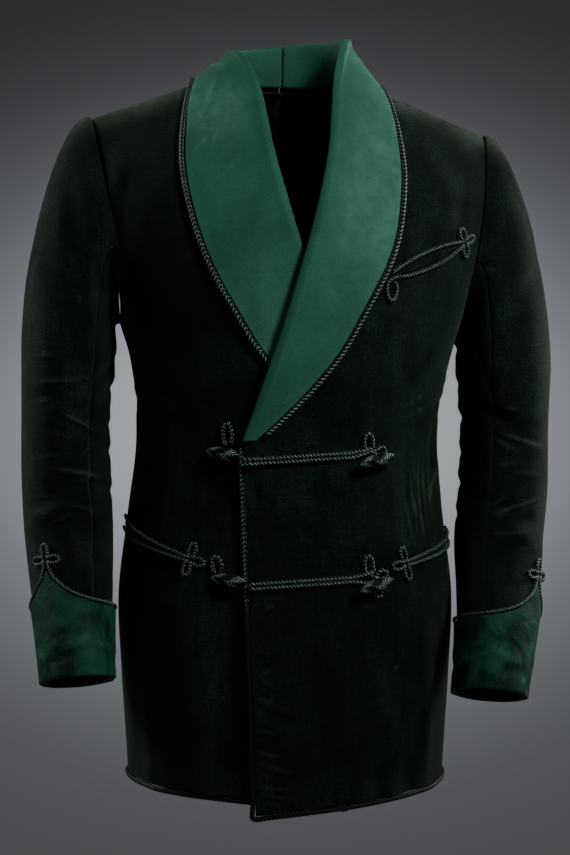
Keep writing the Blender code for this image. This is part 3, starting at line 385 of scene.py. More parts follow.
def cloth(name, grid, finishes, wall, wear_and_sheen=None):
    """A sheet of quads over the grid, with its UV map, its wear and painted sheen, and its wall."""
    rows, columns = grid.shape[:2]
    uv = arc_map(grid)
    index = np.arange(rows * columns).reshape(rows, columns)
    corners = np.stack([index[:-1, :-1], index[:-1, 1:], index[1:, 1:], index[1:, :-1]], axis=-1)
    faces = corners.reshape(-1, 4)
    mesh = bpy.data.meshes.new(name)
    mesh.from_pydata(grid.reshape(-1, 3).tolist(), [], faces.tolist())
    mesh.shade_smooth()
    layer = mesh.uv_layers.new(name="cloth")
    layer.data.foreach_set("uv", uv.reshape(-1, 2)[faces.ravel()].ravel())
    paleness = np.zeros(rows * columns) if wear_and_sheen is None else np.clip(wear_and_sheen, 0, 1).ravel()
    mesh.attributes.new("wear_and_sheen", "FLOAT", "POINT").data.foreach_set("value", paleness)
    for finish in finishes:
        mesh.materials.append(finish)
    piece = in_scene(name, mesh)
    thick = piece.modifiers.new("Wall", "SOLIDIFY")
    thick.thickness = wall
    thick.offset = 0.0
    thick.use_quality_normals = True
    thick.material_offset = len(finishes) - 1
    thick.material_offset_rim = 0
    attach(piece, "root")
    across, up = grid[1:, 1:] - grid[:-1, :-1], grid[1:, :-1] - grid[:-1, 1:]
    area = np.linalg.norm(np.cross(across, up), axis=-1).sum() / 2
    print(f"{name}: {rows} x {columns} points, {area:.4f} square metres, {uv[..., 1].max():.3f} m long")
    return piece


def to_edges(count):
    """Shares from 0 to 1, closer together at both ends: t - 0.06 sin(2 pi t)."""
    even = np.linspace(0, 1, count)
    return even - 0.06 * np.sin(2 * math.pi * even)


def finer(table, rows, columns):
    """The coarse grid read along smooth curves both ways, closer at its edges."""
    tall = catmull(table, to_edges(rows) * (len(table) - 1))
    wide = np.moveaxis(tall, 1, 0)
    return np.moveaxis(catmull(wide, to_edges(columns) * (len(wide) - 1)), 0, 1)


def normals_of(grid):
    """The cross product of the grid's two directions, made one long."""
    return unit(np.cross(np.gradient(grid, axis=1), np.gradient(grid, axis=0)))


# %% [markdown]
# ## Finishes
#
# Velvet is a pile: short silk threads that stand up from a ground. Seen along the pile
# it is almost black, and seen across it, at an edge, light catches the tips. That is
# what a sheen layer does. Where hands and folds rub it, the pile lies flat and turns
# paler and browner. Satin is the opposite: long threads lie flat, so it has a broad,
# soft gloss. Two effects serve all the cloths, so each is a node group: the threads of
# the weave, and the rubbed places, which also carry painted sheen where the light falls.


# %% Node helpers
def join(tree, out, into):
    """A link from one socket to another."""
    tree.links.new(out, into)


def math_node(tree, operation, first, second=None):
    """A Math node whose inputs are sockets or plain numbers."""
    node = tree.nodes.new("ShaderNodeMath")
    node.operation = operation
    for value, socket in zip((first, second), node.inputs):
        if value is None:
            continue
        if isinstance(value, (int, float)):
            socket.default_value = value
        else:
            join(tree, value, socket)
    return node.outputs[0]


def ramp(tree, value, low, high, out_low=0.0, out_high=1.0):
    """A smooth change from out_low to out_high as the value goes from low to high."""
    node = tree.nodes.new("ShaderNodeMapRange")
    node.interpolation_type = "SMOOTHSTEP"
    join(tree, value, node.inputs["Value"])
    node.inputs["From Min"].default_value = low
    node.inputs["From Max"].default_value = high
    node.inputs["To Min"].default_value = out_low
    node.inputs["To Max"].default_value = out_high
    return node.outputs["Result"]


def noise(tree, coordinates, scale, detail=2.0, rough=0.5, distortion=0.0):
    """A noise texture's value at the coordinates, finer as the scale grows."""
    node = tree.nodes.new("ShaderNodeTexNoise")
    node.inputs["Scale"].default_value = scale
    node.inputs["Detail"].default_value = detail
    node.inputs["Roughness"].default_value = rough
    node.inputs["Distortion"].default_value = distortion
    join(tree, coordinates, node.inputs["Vector"])
    return node.outputs["Fac"]


def stretched(tree, coordinates, scale):
    """The coordinates scaled unevenly, so that a noise becomes streaks."""
    node = tree.nodes.new("ShaderNodeMapping")
    node.inputs["Scale"].default_value = scale
    join(tree, coordinates, node.inputs["Vector"])
    return node.outputs["Vector"]


def mixed(tree, share, first, second):
    """A colour between two, by the share."""
    node = tree.nodes.new("ShaderNodeMix")
    node.data_type = "RGBA"
    join(tree, share, node.inputs["Factor"])
    for value, name in ((first, "A"), (second, "B")):
        socket = next(s for s in node.inputs if s.name == name and s.type == "RGBA")
        if isinstance(value, tuple):
            socket.default_value = (*value, 1)
        else:
            join(tree, value, socket)
    return next(s for s in node.outputs if s.type == "RGBA")


# %% The threads of a weave, as a group
def threads_group():
    """Height of the threads: sine across the warp and a weaker sine across the weft, with
    slubs from a noise, on the piece's own UV map in metres."""
    group = bpy.data.node_groups.new("Threads", "ShaderNodeTree")
    face = group.interface
    face.new_socket("Warp per metre", in_out="INPUT", socket_type="NodeSocketFloat")
    face.new_socket("Weft per metre", in_out="INPUT", socket_type="NodeSocketFloat")
    face.new_socket("Weft share", in_out="INPUT", socket_type="NodeSocketFloat")
    face.new_socket("Height", in_out="OUTPUT", socket_type="NodeSocketFloat")
    given = group.nodes.new("NodeGroupInput")
    result = group.nodes.new("NodeGroupOutput")
    uv = group.nodes.new("ShaderNodeUVMap")
    uv.uv_map = "cloth"
    parts = group.nodes.new("ShaderNodeSeparateXYZ")
    join(group, uv.outputs["UV"], parts.inputs["Vector"])
    slub = noise(group, stretched(group, uv.outputs["UV"], (900, 160, 1)), 1.0, 2.0)
    warp = math_node(group, "MULTIPLY", parts.outputs["X"], given.outputs["Warp per metre"])
    warp = math_node(group, "SINE", math_node(group, "ADD", warp, math_node(group, "MULTIPLY", slub, 3.0)))
    weft = math_node(group, "MULTIPLY", parts.outputs["Y"], given.outputs["Weft per metre"])
    weft = math_node(group, "MULTIPLY", math_node(group, "SINE", weft), given.outputs["Weft share"])
    join(group, math_node(group, "ADD", warp, weft), result.inputs["Height"])
    return group


# %% Rubbed places and painted sheen, as a group
def wear_and_sheen_group():
    """A mask: the wear and painted sheen stored at each point, broken up by a noise."""
    group = bpy.data.node_groups.new("Wear and painted sheen", "ShaderNodeTree")
    face = group.interface
    face.new_socket("Patch scale", in_out="INPUT", socket_type="NodeSocketFloat")
    face.new_socket("Wear and sheen", in_out="OUTPUT", socket_type="NodeSocketFloat")
    given = group.nodes.new("NodeGroupInput")
    result = group.nodes.new("NodeGroupOutput")
    stored = group.nodes.new("ShaderNodeAttribute")
    stored.attribute_name = "wear_and_sheen"
    place = group.nodes.new("ShaderNodeTexCoord")
    patches = noise(group, place.outputs["Object"], 30.0, 4.0, 0.65)
    node = patches.node
    join(group, given.outputs["Patch scale"], node.inputs["Scale"])
    broken = ramp(group, patches, 0.30, 0.70, 0.35, 1.0)
    join(group, math_node(group, "MULTIPLY", stored.outputs["Fac"], broken), result.inputs["Wear and sheen"])
    return group


THREADS = threads_group()
WEAR_AND_SHEEN = wear_and_sheen_group()


def placed(tree, group, **values):
    """The group as a node, with its inputs set by name."""
    node = tree.nodes.new("ShaderNodeGroup")
    node.node_tree = group
    for name, value in values.items():
        node.inputs[name.replace("_", " ")].default_value = value
    return node.outputs[0]


def new_finish(name):
    """A material, its nodes, its shader and the place on the object in metres."""
    made = bpy.data.materials.new(name)
    made.use_nodes = True
    tree = made.node_tree
    shader = tree.nodes["Principled BSDF"]
    place = tree.nodes.new("ShaderNodeTexCoord").outputs["Object"]
    return made, tree, shader, place


def bump(tree, shader, height, distance, strength=1.0):
    """The height as a bump, where 1 stands for the distance in metres."""
    node = tree.nodes.new("ShaderNodeBump")
    node.inputs["Distance"].default_value = distance
    node.inputs["Strength"].default_value = strength
    join(tree, height, node.inputs["Height"])
    join(tree, node.outputs["Normal"], shader.inputs["Normal"])


# %% [markdown]
# ### Velvet
#
# Four scales of change make it read as velvet: broad brushed patches where the pile
# leans another way, streaks down the cloth, upright and level threads of the woven
# ground, and the grain of the pile itself. Sheen lights the edges, and the rubbed places
# mix in a paler, browner green. The same green is painted highlight on the tops of the
# shoulders and sleeve heads and down the sleeves' outer sides, where light catches them.

# %% Velvet
# The third colour is both worn velvet and painted highlight on the tops of the shoulders and sleeves.
VELVET_DEEP = (0.0010, 0.0022, 0.0017)
VELVET_LIT = (0.0090, 0.0225, 0.0135)
VELVET_WORN_AND_LIT = (0.0480, 0.0620, 0.0440)


def velvet_finish():
    """The tone is patches * streaks * mottle * (upright + level threads)."""
    made, tree, shader, place = new_finish("Green velvet")
    patches = noise(tree, place, 11.0, 5.0, 0.6, 0.6)
    streaks = noise(tree, stretched(tree, place, (60, 60, 9)), 1.0, 4.0, 0.6)
    grain = noise(tree, place, 1500.0, 2.0, 0.6)
    mottle = noise(tree, stretched(tree, place, (700, 700, 420)), 1.0, 3.0, 0.7)
    broad = ramp(tree, patches, 0.32, 0.68, 0.25, 1.0)
    tone = math_node(tree, "MULTIPLY", broad, ramp(tree, streaks, 0.3, 0.7, 0.4, 1.0))
    tone = math_node(tree, "MULTIPLY", tone, ramp(tree, mottle, 0.36, 0.64, 0.15, 1.0))
    upright = noise(tree, stretched(tree, place, (520, 520, 40)), 1.0, 2.0, 0.6)
    level = noise(tree, stretched(tree, place, (60, 60, 620)), 1.0, 2.0, 0.6)
    upright = ramp(tree, upright, 0.28, 0.72, 0.26, 0.72)
    level = ramp(tree, level, 0.28, 0.72, 0.26, 0.72)
    ground = math_node(tree, "ADD", upright, level)
    tone = math_node(tree, "MULTIPLY", tone, ground)
    colour = mixed(tree, tone, VELVET_DEEP, VELVET_LIT)
    # The stored mask mixes in the paler green: wear, and painted highlight on the shoulders and sleeves.
    pale_share = placed(tree, WEAR_AND_SHEEN, Patch_scale=55.0)
    colour = mixed(tree, pale_share, colour, VELVET_WORN_AND_LIT)
    join(tree, colour, shader.inputs["Base Color"])
    join(tree, ramp(tree, patches, 0.3, 0.7, 0.95, 0.80), shader.inputs["Roughness"])
    shader.inputs["Specular IOR Level"].default_value = 0.06
    shader.inputs["Sheen Weight"].default_value = 0.15
    shader.inputs["Sheen Roughness"].default_value = 0.40
    shader.inputs["Sheen Tint"].default_value = (0.21, 0.39, 0.27, 1)
    pile = math_node(tree, "ADD", grain, math_node(tree, "MULTIPLY", mottle, 2.0))
    pile = math_node(tree, "ADD", pile, math_node(tree, "MULTIPLY", ground, 0.7))
    bump(tree, shader, math_node(tree, "ADD", pile, math_node(tree, "MULTIPLY", streaks, 1.5)), 0.0005, 0.8)
    return made


# %% [markdown]
# ### Satin
#
# The collar and cuffs are a heavier, ribbed satin in emerald. Its threads lie across
# the light, so the gloss is broad. Fine ribs from the thread group break it up, and a
# slow noise makes it ripple as pressed silk does, with painted shade in the ripples'
# hollows. The cuffs have a satin of their own: duller and more crumpled than the
# collar's, and darker, which is painted shade, as they lie low, out of the light.

# %% Satin
# The pale tone is both rubbed satin and painted sheen: it also fills the collar's painted sheen bands.
COLLAR_SHADES = (0.0050, 0.0370, 0.0205), (0.0190, 0.1060, 0.0640), (0.0700, 0.1850, 0.1300)
# The cuffs' satin is the collar's painted darker: painted shade, as the cuffs lie low, out of the light.
SHADED_CUFF_TONES = (0.0010, 0.0065, 0.0036), (0.0100, 0.0560, 0.0340), (0.0300, 0.1050, 0.0700)


def satin_finish(name, shades, folds_per_metre, crumple, fold_shade, gloss, sheen):
    """Shades are deep, lit and pale. Crumple raises the slow folds, and the value after it darkens their
    hollows as painted shade.
    """
    deep, lit, pale = shades
    made, tree, shader, place = new_finish(name)
    ribs = placed(tree, THREADS, Warp_per_metre=5200.0, Weft_per_metre=3300.0, Weft_share=0.7)
    slow = noise(tree, place, folds_per_metre, 3.0, 0.5, 0.4)
    mottle = noise(tree, place, 850.0, 2.0, 0.7)
    fine_tone = ramp(tree, mottle, 0.38, 0.62, 0.0, 0.35)
    # Painted shade: the colour darkens where the slow folds dip, by the value after crumple.
    tone = math_node(tree, "ADD", ramp(tree, slow, 0.36, 0.62, 0.65 - fold_shade, 0.65), fine_tone)
    colour = mixed(tree, tone, deep, lit)
    pale_share = placed(tree, WEAR_AND_SHEEN, Patch_scale=70.0)
    join(tree, mixed(tree, pale_share, colour, pale), shader.inputs["Base Color"])
    join(tree, ramp(tree, slow, 0.3, 0.7, 0.72, 0.62), shader.inputs["Roughness"])
    shader.inputs["Specular IOR Level"].default_value = gloss
    shader.inputs["Sheen Weight"].default_value = sheen
    shader.inputs["Sheen Tint"].default_value = (0.35, 0.80, 0.58, 1)
    slow_height = math_node(tree, "MULTIPLY", slow, crumple)
    height = math_node(tree, "ADD", math_node(tree, "MULTIPLY", ribs, 0.06), slow_height)
    height = math_node(tree, "ADD", height, math_node(tree, "MULTIPLY", mottle, 0.16))
    bump(tree, shader, height, 0.0010, 0.55)
    return made


# %% [markdown]
# ### Braid and the cloth's reverse
#
# The cord is plaited silk: the strands are real geometry, so its finish only needs
# fine threads, a gloss on the strands, painted shade where they dip and painted
# highlights on the highest of them. The inside of the cloth is the plain ground of the weave.

# %% Braid and reverse
# Painted light on the plait: the first colour goes where the strands dip, the third on the highest strands.
BRAID_GROOVE_SHADE = (0.0010, 0.0022, 0.0018)
BRAID_LIT = (0.0045, 0.0110, 0.0090)
BRAID_HIGHLIGHT = (0.2600, 0.3600, 0.3200)
REVERSE_DEEP = (0.007, 0.016, 0.013)
REVERSE_LIT = (0.016, 0.030, 0.025)


def braid_finish():
    """Painted shade where the strands dip, and painted highlights, broken up by fibres, on the highest of
    them.
    """
    made, tree, shader, place = new_finish("Green braid")
    stored = tree.nodes.new("ShaderNodeAttribute")
    stored.attribute_name = "strand"
    fibre = noise(tree, place, 1400.0, 2.0, 0.6)
    raised = ramp(tree, stored.outputs["Fac"], 0.35, 0.90)
    body_tone = math_node(tree, "MULTIPLY", raised, ramp(tree, fibre, 0.2, 0.7, 0.7, 1.0))
    highest = ramp(tree, stored.outputs["Fac"], 0.66, 0.94)
    tips = math_node(tree, "MULTIPLY", highest, ramp(tree, fibre, 0.40, 0.58, 0.0, 1.0))
    colour = mixed(tree, tips, mixed(tree, body_tone, BRAID_GROOVE_SHADE, BRAID_LIT), BRAID_HIGHLIGHT)
    join(tree, colour, shader.inputs["Base Color"])
    join(tree, ramp(tree, fibre, 0.3, 0.7, 0.60, 0.48), shader.inputs["Roughness"])
    shader.inputs["Specular IOR Level"].default_value = 0.08
    shader.inputs["Sheen Weight"].default_value = 0.02
    shader.inputs["Sheen Tint"].default_value = (0.55, 0.75, 0.68, 1)
    bump(tree, shader, fibre, 0.0003, 0.5)
    return made


def reverse_finish():
    """A plain weave in patches of two dark greens."""
    made, tree, shader, place = new_finish("Reverse of the cloth")
    weave = placed(tree, THREADS, Warp_per_metre=7000.0, Weft_per_metre=7000.0, Weft_share=1.0)
    patches = noise(tree, place, 14.0, 3.0)
    join(tree, mixed(tree, patches, REVERSE_DEEP, REVERSE_LIT), shader.inputs["Base Color"])
    join(tree, ramp(tree, patches, 0.3, 0.7, 0.92, 0.78), shader.inputs["Roughness"])
    shader.inputs["Specular IOR Level"].default_value = 0.25
    bump(tree, shader, weave, 0.0002, 0.4)
    return made


velvet = velvet_finish()
satin = satin_finish(
    "Green satin of the collar", COLLAR_SHADES,
    folds_per_metre=16.0, crumple=2.2, fold_shade=0.25, gloss=0.10, sheen=0.02,
)
shaded_cuff_satin = satin_finish(
    "Green satin of the cuffs, in painted shade", SHADED_CUFF_TONES,
    folds_per_metre=26.0, crumple=13.0, fold_shade=0.65, gloss=0.05, sheen=0.0,
)
braid = braid_finish()
reverse = reverse_finish()
print("finishes:", velvet.name, satin.name, braid.name, reverse.name)

# %% [markdown]
# ## The back and the two fronts
#
# Each panel keeps the cut of its solid: the side seam, the armhole and the shoulder seam
# are the same curves. A seam pulls the cloth in, so a panel dips a little along its sewn
# edges. The free front edge isn't sewn to anything, so it doesn't dip.

# %% The cut of the panels
SIDE_ROWS, ARMHOLE_LOW_ROWS, ARMHOLE_HIGH_ROWS = 13, 4, 5
FRONT_COLUMNS, BACK_COLUMNS = 12, 14
PANEL_INNER_AT_ARMPIT = -0.275
SIDE_RADIUS = 0.165


def armhole_edges(side, rows):
    """A quarter sine from the armpit to the widest level, then a smooth step to the tip."""
    widest = ARMHOLE_FRONT[side]
    low = np.linspace(0, math.pi / 2, ARMHOLE_LOW_ROWS + 1)[:-1]
    level_low = WIDEST_LEVEL - (WIDEST_LEVEL - ARMPIT_LEVEL) * np.cos(low)
    front_low = SIDE_SEAM - (SIDE_SEAM - widest) * np.sin(low)
    back_low = SIDE_SEAM + (ARMHOLE_BACK - SIDE_SEAM) * np.sin(low)
    up = 1 - (1 - np.linspace(0, 1, rows - len(low))) ** 1.5
    level_high = WIDEST_LEVEL + (RIDGE - WIDEST_LEVEL) * up
    share = step(WIDEST_LEVEL, RIDGE, level_high)
    tip = math.asin(0.206 / SECTIONS[-1, 1])
    front_high = widest + (tip - widest) * share
    back_high = ARMHOLE_BACK + (math.pi - tip - ARMHOLE_BACK) * share
    return (
        np.concatenate([front_low, front_high]),
        np.concatenate([back_low, back_high]),
        np.concatenate([level_low, level_high]),
    )


def front_edge_x(height):
    """Straight up the front edge, then the roll line, with a flare at the neck."""
    up = (height - HEM_CORNER[1]) / (BREAK_HEIGHT - HEM_CORNER[1])
    below = EDGE_X_AT_HEM + (BREAK_X - EDGE_X_AT_HEM) * np.clip(up, 0, 1)
    above = BREAK_X + 0.30 * (height - BREAK_HEIGHT)
    flare = 0.020 * (np.maximum(height + 0.060, 0) / 0.060) ** 2
    return np.where(height < BREAK_HEIGHT, below, above + flare)


def front_grid(side):
    """(angle, level) of a front, from the hem up and from its edge round to the side."""
    arm_front, _, arm_level = armhole_edges(side, ARMHOLE_LOW_ROWS + ARMHOLE_HIGH_ROWS + 1)
    side_level = np.linspace(level_at(0.0, HEM_SIDE), ARMPIT_LEVEL, SIDE_ROWS + 1)[:-1]
    outer_level = np.concatenate([side_level, arm_level])
    outer_angle = np.concatenate([np.full(SIDE_ROWS, SIDE_SEAM), arm_front])
    low = np.linspace(HEM_CORNER[side], PANEL_INNER_AT_ARMPIT, SIDE_ROWS + 1)[:-1]
    high = PANEL_INNER_AT_ARMPIT * (1 - np.linspace(0, 1, len(arm_level)))
    inner_height = np.concatenate([low, high])
    inner_angle, inner_level = front_place(front_edge_x(inner_height), inner_height)
    inner_angle[-1] = math.asin(NECK_POINT_X / SECTIONS[-1, 1])
    inner_level[-1] = RIDGE
    share = np.linspace(0, 1, FRONT_COLUMNS + 1)
    angle = inner_angle[:, None] + (outer_angle - inner_angle)[:, None] * share
    level = inner_level[:, None] + (outer_level - inner_level)[:, None] * share
    angle[: SIDE_ROWS + 1, -1] -= SEAM_GAP / 2 / SIDE_RADIUS
    level[-1] -= RIDGE_GAP / 2 / SECTIONS[-2, 2]
    return angle, level


def back_grid():
    """(angle, level) of the back, from the hem up and from the wearer's left to right."""
    _, arm_back, arm_level = armhole_edges(1, ARMHOLE_LOW_ROWS + ARMHOLE_HIGH_ROWS + 1)
    hem_level = level_at(0.0, HEM_SIDE)
    side_level = np.linspace(hem_level, ARMPIT_LEVEL, SIDE_ROWS + 1)[:-1]
    outer_level = np.concatenate([side_level, arm_level])
    outer_angle = np.concatenate([np.full(SIDE_ROWS, SIDE_SEAM), arm_back])
    share = np.linspace(0, 1, BACK_COLUMNS + 1)
    angle = outer_angle[:, None] + 2 * (math.pi - outer_angle)[:, None] * share
    x = np.abs(SECTIONS[-1, 1] * np.sin(angle[-1]))
    dip = np.clip(1 - (x / NECK_POINT_X) ** 2, 0, 1)
    top = RIDGE - (RIDGE - BACK_NECK_LEVEL) * np.sqrt(dip)
    up = (outer_level - outer_level[0]) / (RIDGE - outer_level[0])
    drop = (level_at(0.0, HEM_BACK) - hem_level) * np.sin(math.pi * share)
    level = (hem_level + drop) + (top - hem_level - drop) * up[:, None]
    angle[: SIDE_ROWS + 1, 0] += SEAM_GAP / 2 / SIDE_RADIUS
    angle[: SIDE_ROWS + 1, -1] -= SEAM_GAP / 2 / SIDE_RADIUS
    level[-1] -= RIDGE_GAP / 2 / SECTIONS[-2, 3]
    return angle, level


# %% Sewing and wear along the edges
CLOTH_WALL = 0.0012
SEAM_DIP = 0.0011
SEAM_REACH = 0.0030
THIN_CREASE = 0.0032
# Rows and columns of points
FRONT_POINTS = {1: (225, 168), -1: (190, 130)}
BACK_POINTS = (130, 101)


def from_edges(grid):
    """Metres from the first and last column, and from the first and last row."""
    uv = arc_map(grid)
    return (
        uv[..., 0] - uv[:, :1, 0],
        uv[:, -1:, 0] - uv[..., 0],
        uv[..., 1] - uv[:1, :, 1],
        uv[-1:, :, 1] - uv[..., 1],
    )


def sewn(distance):
    """The dip beside a seam: -depth * exp(-(d / reach)^2)."""
    return -SEAM_DIP * np.exp(-((distance / SEAM_REACH) ** 2))


def pale_share(distance, reach):
    """Wear that fades from an edge: exp(-d / reach)."""
    return np.exp(-distance / reach)


def thin_ones(table):
    """The table's rows whose width is a thin crease's."""
    return [row for row in table if row[3] < THIN_CREASE]


def crowns(relief, thin, strength):
    """The nap is rubbed off a thin crease first, and only a little off a broad one."""
    return strength * step(0.0001, 0.0014, thin) + 0.08 * step(0.0004, 0.0016, relief)


def shoulder_wear_and_sheen(points, level):
    """Rubbed along the shoulders, and painted highlight there, where light falls on their tops."""
    return step(10.7, 12.4, level) * (0.80 + 0.20 * np.sin(70 * points[..., 0]))


# %% Front and back panels
def front_panel(side, creases):
    """The front's form plus its creases and the dips at its side, armhole and shoulder."""
    angle, level = (finer(values, *FRONT_POINTS[side]) for values in front_grid(side))
    turn = side * angle
    flat = on_body(turn, level, LIFTS[side])
    _, to_side, from_hem, to_shoulder = from_edges(flat)
    dips = sewn(to_side) + sewn(to_shoulder)
    relief = crease_relief(flat[..., 0], flat[..., 2], creases)
    points = flat + body_normal(turn, level) * (relief + dips)[..., None]
    thin = crease_relief(flat[..., 0], flat[..., 2], thin_ones(creases))
    wear_and_sheen = shoulder_wear_and_sheen(points, level) + crowns(relief, thin, 0.50) + 0.06 * pale_share(from_hem, 0.005)
    if side < 0:
        points, wear_and_sheen = points[:, ::-1], wear_and_sheen[:, ::-1]
    return stance(points), wear_and_sheen


def back_panel():
    """The back's form plus creases placed by girth, with a seam down its middle."""
    angle, level = (finer(values, *BACK_POINTS) for values in back_grid())
    flat = on_body(angle, level)
    from_left, to_right, _, to_shoulder = from_edges(flat)
    girth = (math.pi - angle) * GIRTH_RADIUS
    dips = sewn(from_left) + sewn(to_right) + sewn(to_shoulder) + 1.2 * sewn(girth)
    relief = crease_relief(girth, flat[..., 2], BACK_CREASES)
    points = flat + body_normal(angle, level) * (relief + dips)[..., None]
    return stance(points), shoulder_wear_and_sheen(points, level) + crowns(relief, 0 * relief, 0.42)


points, wear_and_sheen = front_panel(1, LEFT_FRONT_CREASES)
front_left = cloth("velvet_front_left", points, (velvet, reverse), CLOTH_WALL, wear_and_sheen)
points, wear_and_sheen = front_panel(-1, RIGHT_FRONT_CREASES)
front_right = cloth("velvet_front_right", points, (velvet, reverse), CLOTH_WALL, wear_and_sheen)
points, wear_and_sheen = back_panel()
middle = points.shape[1] // 2
back_left, back_right = (
    cloth(f"velvet_back_{name}", points[:, half], (velvet, reverse), CLOTH_WALL, wear_and_sheen[:, half])
    for name, half in (("left", slice(0, middle + 1)), ("right", slice(middle, None)))
)
# Columns: piece, the solid it stands for, the cut's width and length, its area
for piece, node, cut, area in (
    (front_left, "front_left", (0.33, 0.82), 0.190),
    (front_right, "front_right", (0.33, 0.82), 0.187),
    (back_left, "back_left", (0.25, 0.79), 0.156),
    (back_right, "back_right", (0.25, 0.79), 0.156),
):
    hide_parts(node)

# %% [markdown]
# ## Sleeves
#
# A tailored sleeve is two pieces, a wide one over the arm and a narrow one under it, so
# that it can bend at the elbow. Both are cut from one tube here: a row of curves swells
# out of the armhole into the sleeve's head, and rings lead down to the cuff. The head's
# edge turns in to meet the panel, as a sewn edge does. The tube is split at the two
# seams, and each edge dips where it is sewn.

# %% The sleeve's form
# Columns: height, x right, x left, y right, y left, half width, half depth, rise, drop
SLEEVE = np.array(
    [
        (-0.290, 0.2276, 0.2276, 0.004, 0.004, 0.0486, 0.066, 0.00, 0.00),
        (-0.350, 0.2310, 0.2290, 0.008, 0.006, 0.0450, 0.062, 0.00, 0.00),
        (-0.415, 0.2305, 0.2265, 0.006, 0.000, 0.0455, 0.061, 0.03, 0.00),
        (-0.470, 0.2285, 0.2185, -0.004, -0.016, 0.0450, 0.059, 0.10, 0.02),
        (-0.520, 0.2265, 0.2110, -0.022, -0.050, 0.0420, 0.055, 0.17, 0.05),
        (-0.570, 0.2240, 0.2005, -0.044, -0.085, 0.0375, 0.050, 0.21, 0.08),
        (-0.622, 0.2215, 0.1880, -0.067, -0.116, 0.0340, 0.046, 0.22, 0.10),
    ]
)
SLEEVE_END = len(SLEEVE) - 1
SLEEVE_STANDOFF = 0.0017
TURNED_IN = 0.0009
SLEEVE_SEAM_GAP = 0.0005
SLEEVE_RADIUS = 0.052
LOOP_COLUMNS, CAP_ROWS = 18, 6
FRONT_SEAM, BACK_SEAM = 6, 14
# How far the head swells out and up: a middle value and what the turn adds to it
HEAD_OUT, HEAD_OUT_SWING = 0.0178, 0.0122
HEAD_UP, HEAD_UP_SWING = 0.0600, 0.0400
# Rows of points in the head and down the arm, and columns in each piece
HEAD_POINTS, ARM_POINTS = 56, 165
SLEEVE_POINTS = {"top": 92, "under": 48}
# The solids' folds. Columns: side, turn, height, length, width, lean, depth
SLEEVE_FOLDS = (
    (-1, 150, -0.306, 0.036, 0.0070, 66, -0.0035),
    (-1, 120, -0.330, 0.040, 0.0080, 60, 0.0025),
    (-1, 95, -0.432, 0.034, 0.0075, 74, -0.0040),
    (-1, 60, -0.456, 0.034, 0.0080, 70, 0.0028),
    (-1, 130, -0.500, 0.030, 0.0070, -70, -0.0032),
    (1, 60, -0.205, 0.045, 0.0110, -48, -0.0040),
    (1, 110, -0.345, 0.036, 0.0080, 62, -0.0035),
    (1, 90, -0.440, 0.036, 0.0080, 72, -0.0040),
    (1, 65, -0.466, 0.034, 0.0080, 66, 0.0028),
    (-1, 270, -0.440, 0.034, 0.0090, 80, -0.0030),
    (1, 272, -0.430, 0.034, 0.0090, -80, -0.0030),
)
# The listed creases. Columns: turn, height, length, width, lean, depth, bow
RIGHT_SLEEVE_CREASES = (
    (176, -0.2480, 0.0240, 0.0260, 0, -0.0016, 0.0),
    (184, -0.3250, 0.0260, 0.0055, 96, -0.0022, 0.0),
    (184, -0.3620, 0.0240, 0.0045, 84, -0.0012, 0.0),
    (186, -0.3900, 0.0240, 0.0050, 92, -0.0016, 0.0),
    (184, -0.4300, 0.0240, 0.0050, 86, -0.0014, 0.0),
    (60, -0.2955, 0.0150, 0.0022, 90, 0.0008, 0.0),
    (76, -0.3205, 0.0260, 0.0022, 85, 0.0011, 0.04),
    (104, -0.3610, 0.0240, 0.0022, 111, 0.0011, 0.0),
    (105, -0.3660, 0.0220, 0.0030, 110, -0.0011, 0.0),
    (70, -0.3960, 0.0200, 0.0020, 81, 0.0009, 0.03),
    (103, -0.4125, 0.0260, 0.0024, 97, 0.0013, 0.02),
    (104, -0.4175, 0.0240, 0.0030, 97, -0.0012, 0.0),
    (118, -0.3875, 0.0140, 0.0018, 55, 0.0009, 0.0),
    (107, -0.4475, 0.0230, 0.0022, 103, 0.0010, 0.03),
    (78, -0.4590, 0.0140, 0.0018, 62, 0.0009, 0.0),
    (78, -0.3750, 0.0180, 0.0018, 95, 0.0007, 0.03),
    (91, -0.4290, 0.0180, 0.0018, 93, 0.0007, 0.0),
    (50, -0.3420, 0.0200, 0.0020, 80, 0.0008, 0.03),
    (58, -0.4380, 0.0220, 0.0020, 86, 0.0008, 0.02),
    (96, -0.3450, 0.0260, 0.0060, 100, -0.0014, 0.0),
    (72, -0.4280, 0.0280, 0.0060, 92, -0.0012, 0.0),
    (62, -0.3340, 0.0300, 0.0070, 84, -0.0012, 0.0),
    (20, -0.2100, 0.0400, 0.0080, 14, -0.0012, 0.0),
    (75, -0.1700, 0.0500, 0.0090, -10, -0.0014, 0.0),
    (110, -0.2300, 0.0400, 0.0070, -12, 0.0014, 0.0),
    (240, -0.4200, 0.0260, 0.0044, 70, -0.0016, 0.0),
    (255, -0.4520, 0.0260, 0.0044, 74, 0.0016, 0.0),
    (262, -0.3950, 0.0260, 0.0044, -72, 0.0014, 0.0),
    (300, -0.3100, 0.0300, 0.0060, 60, -0.0012, 0.0),
)
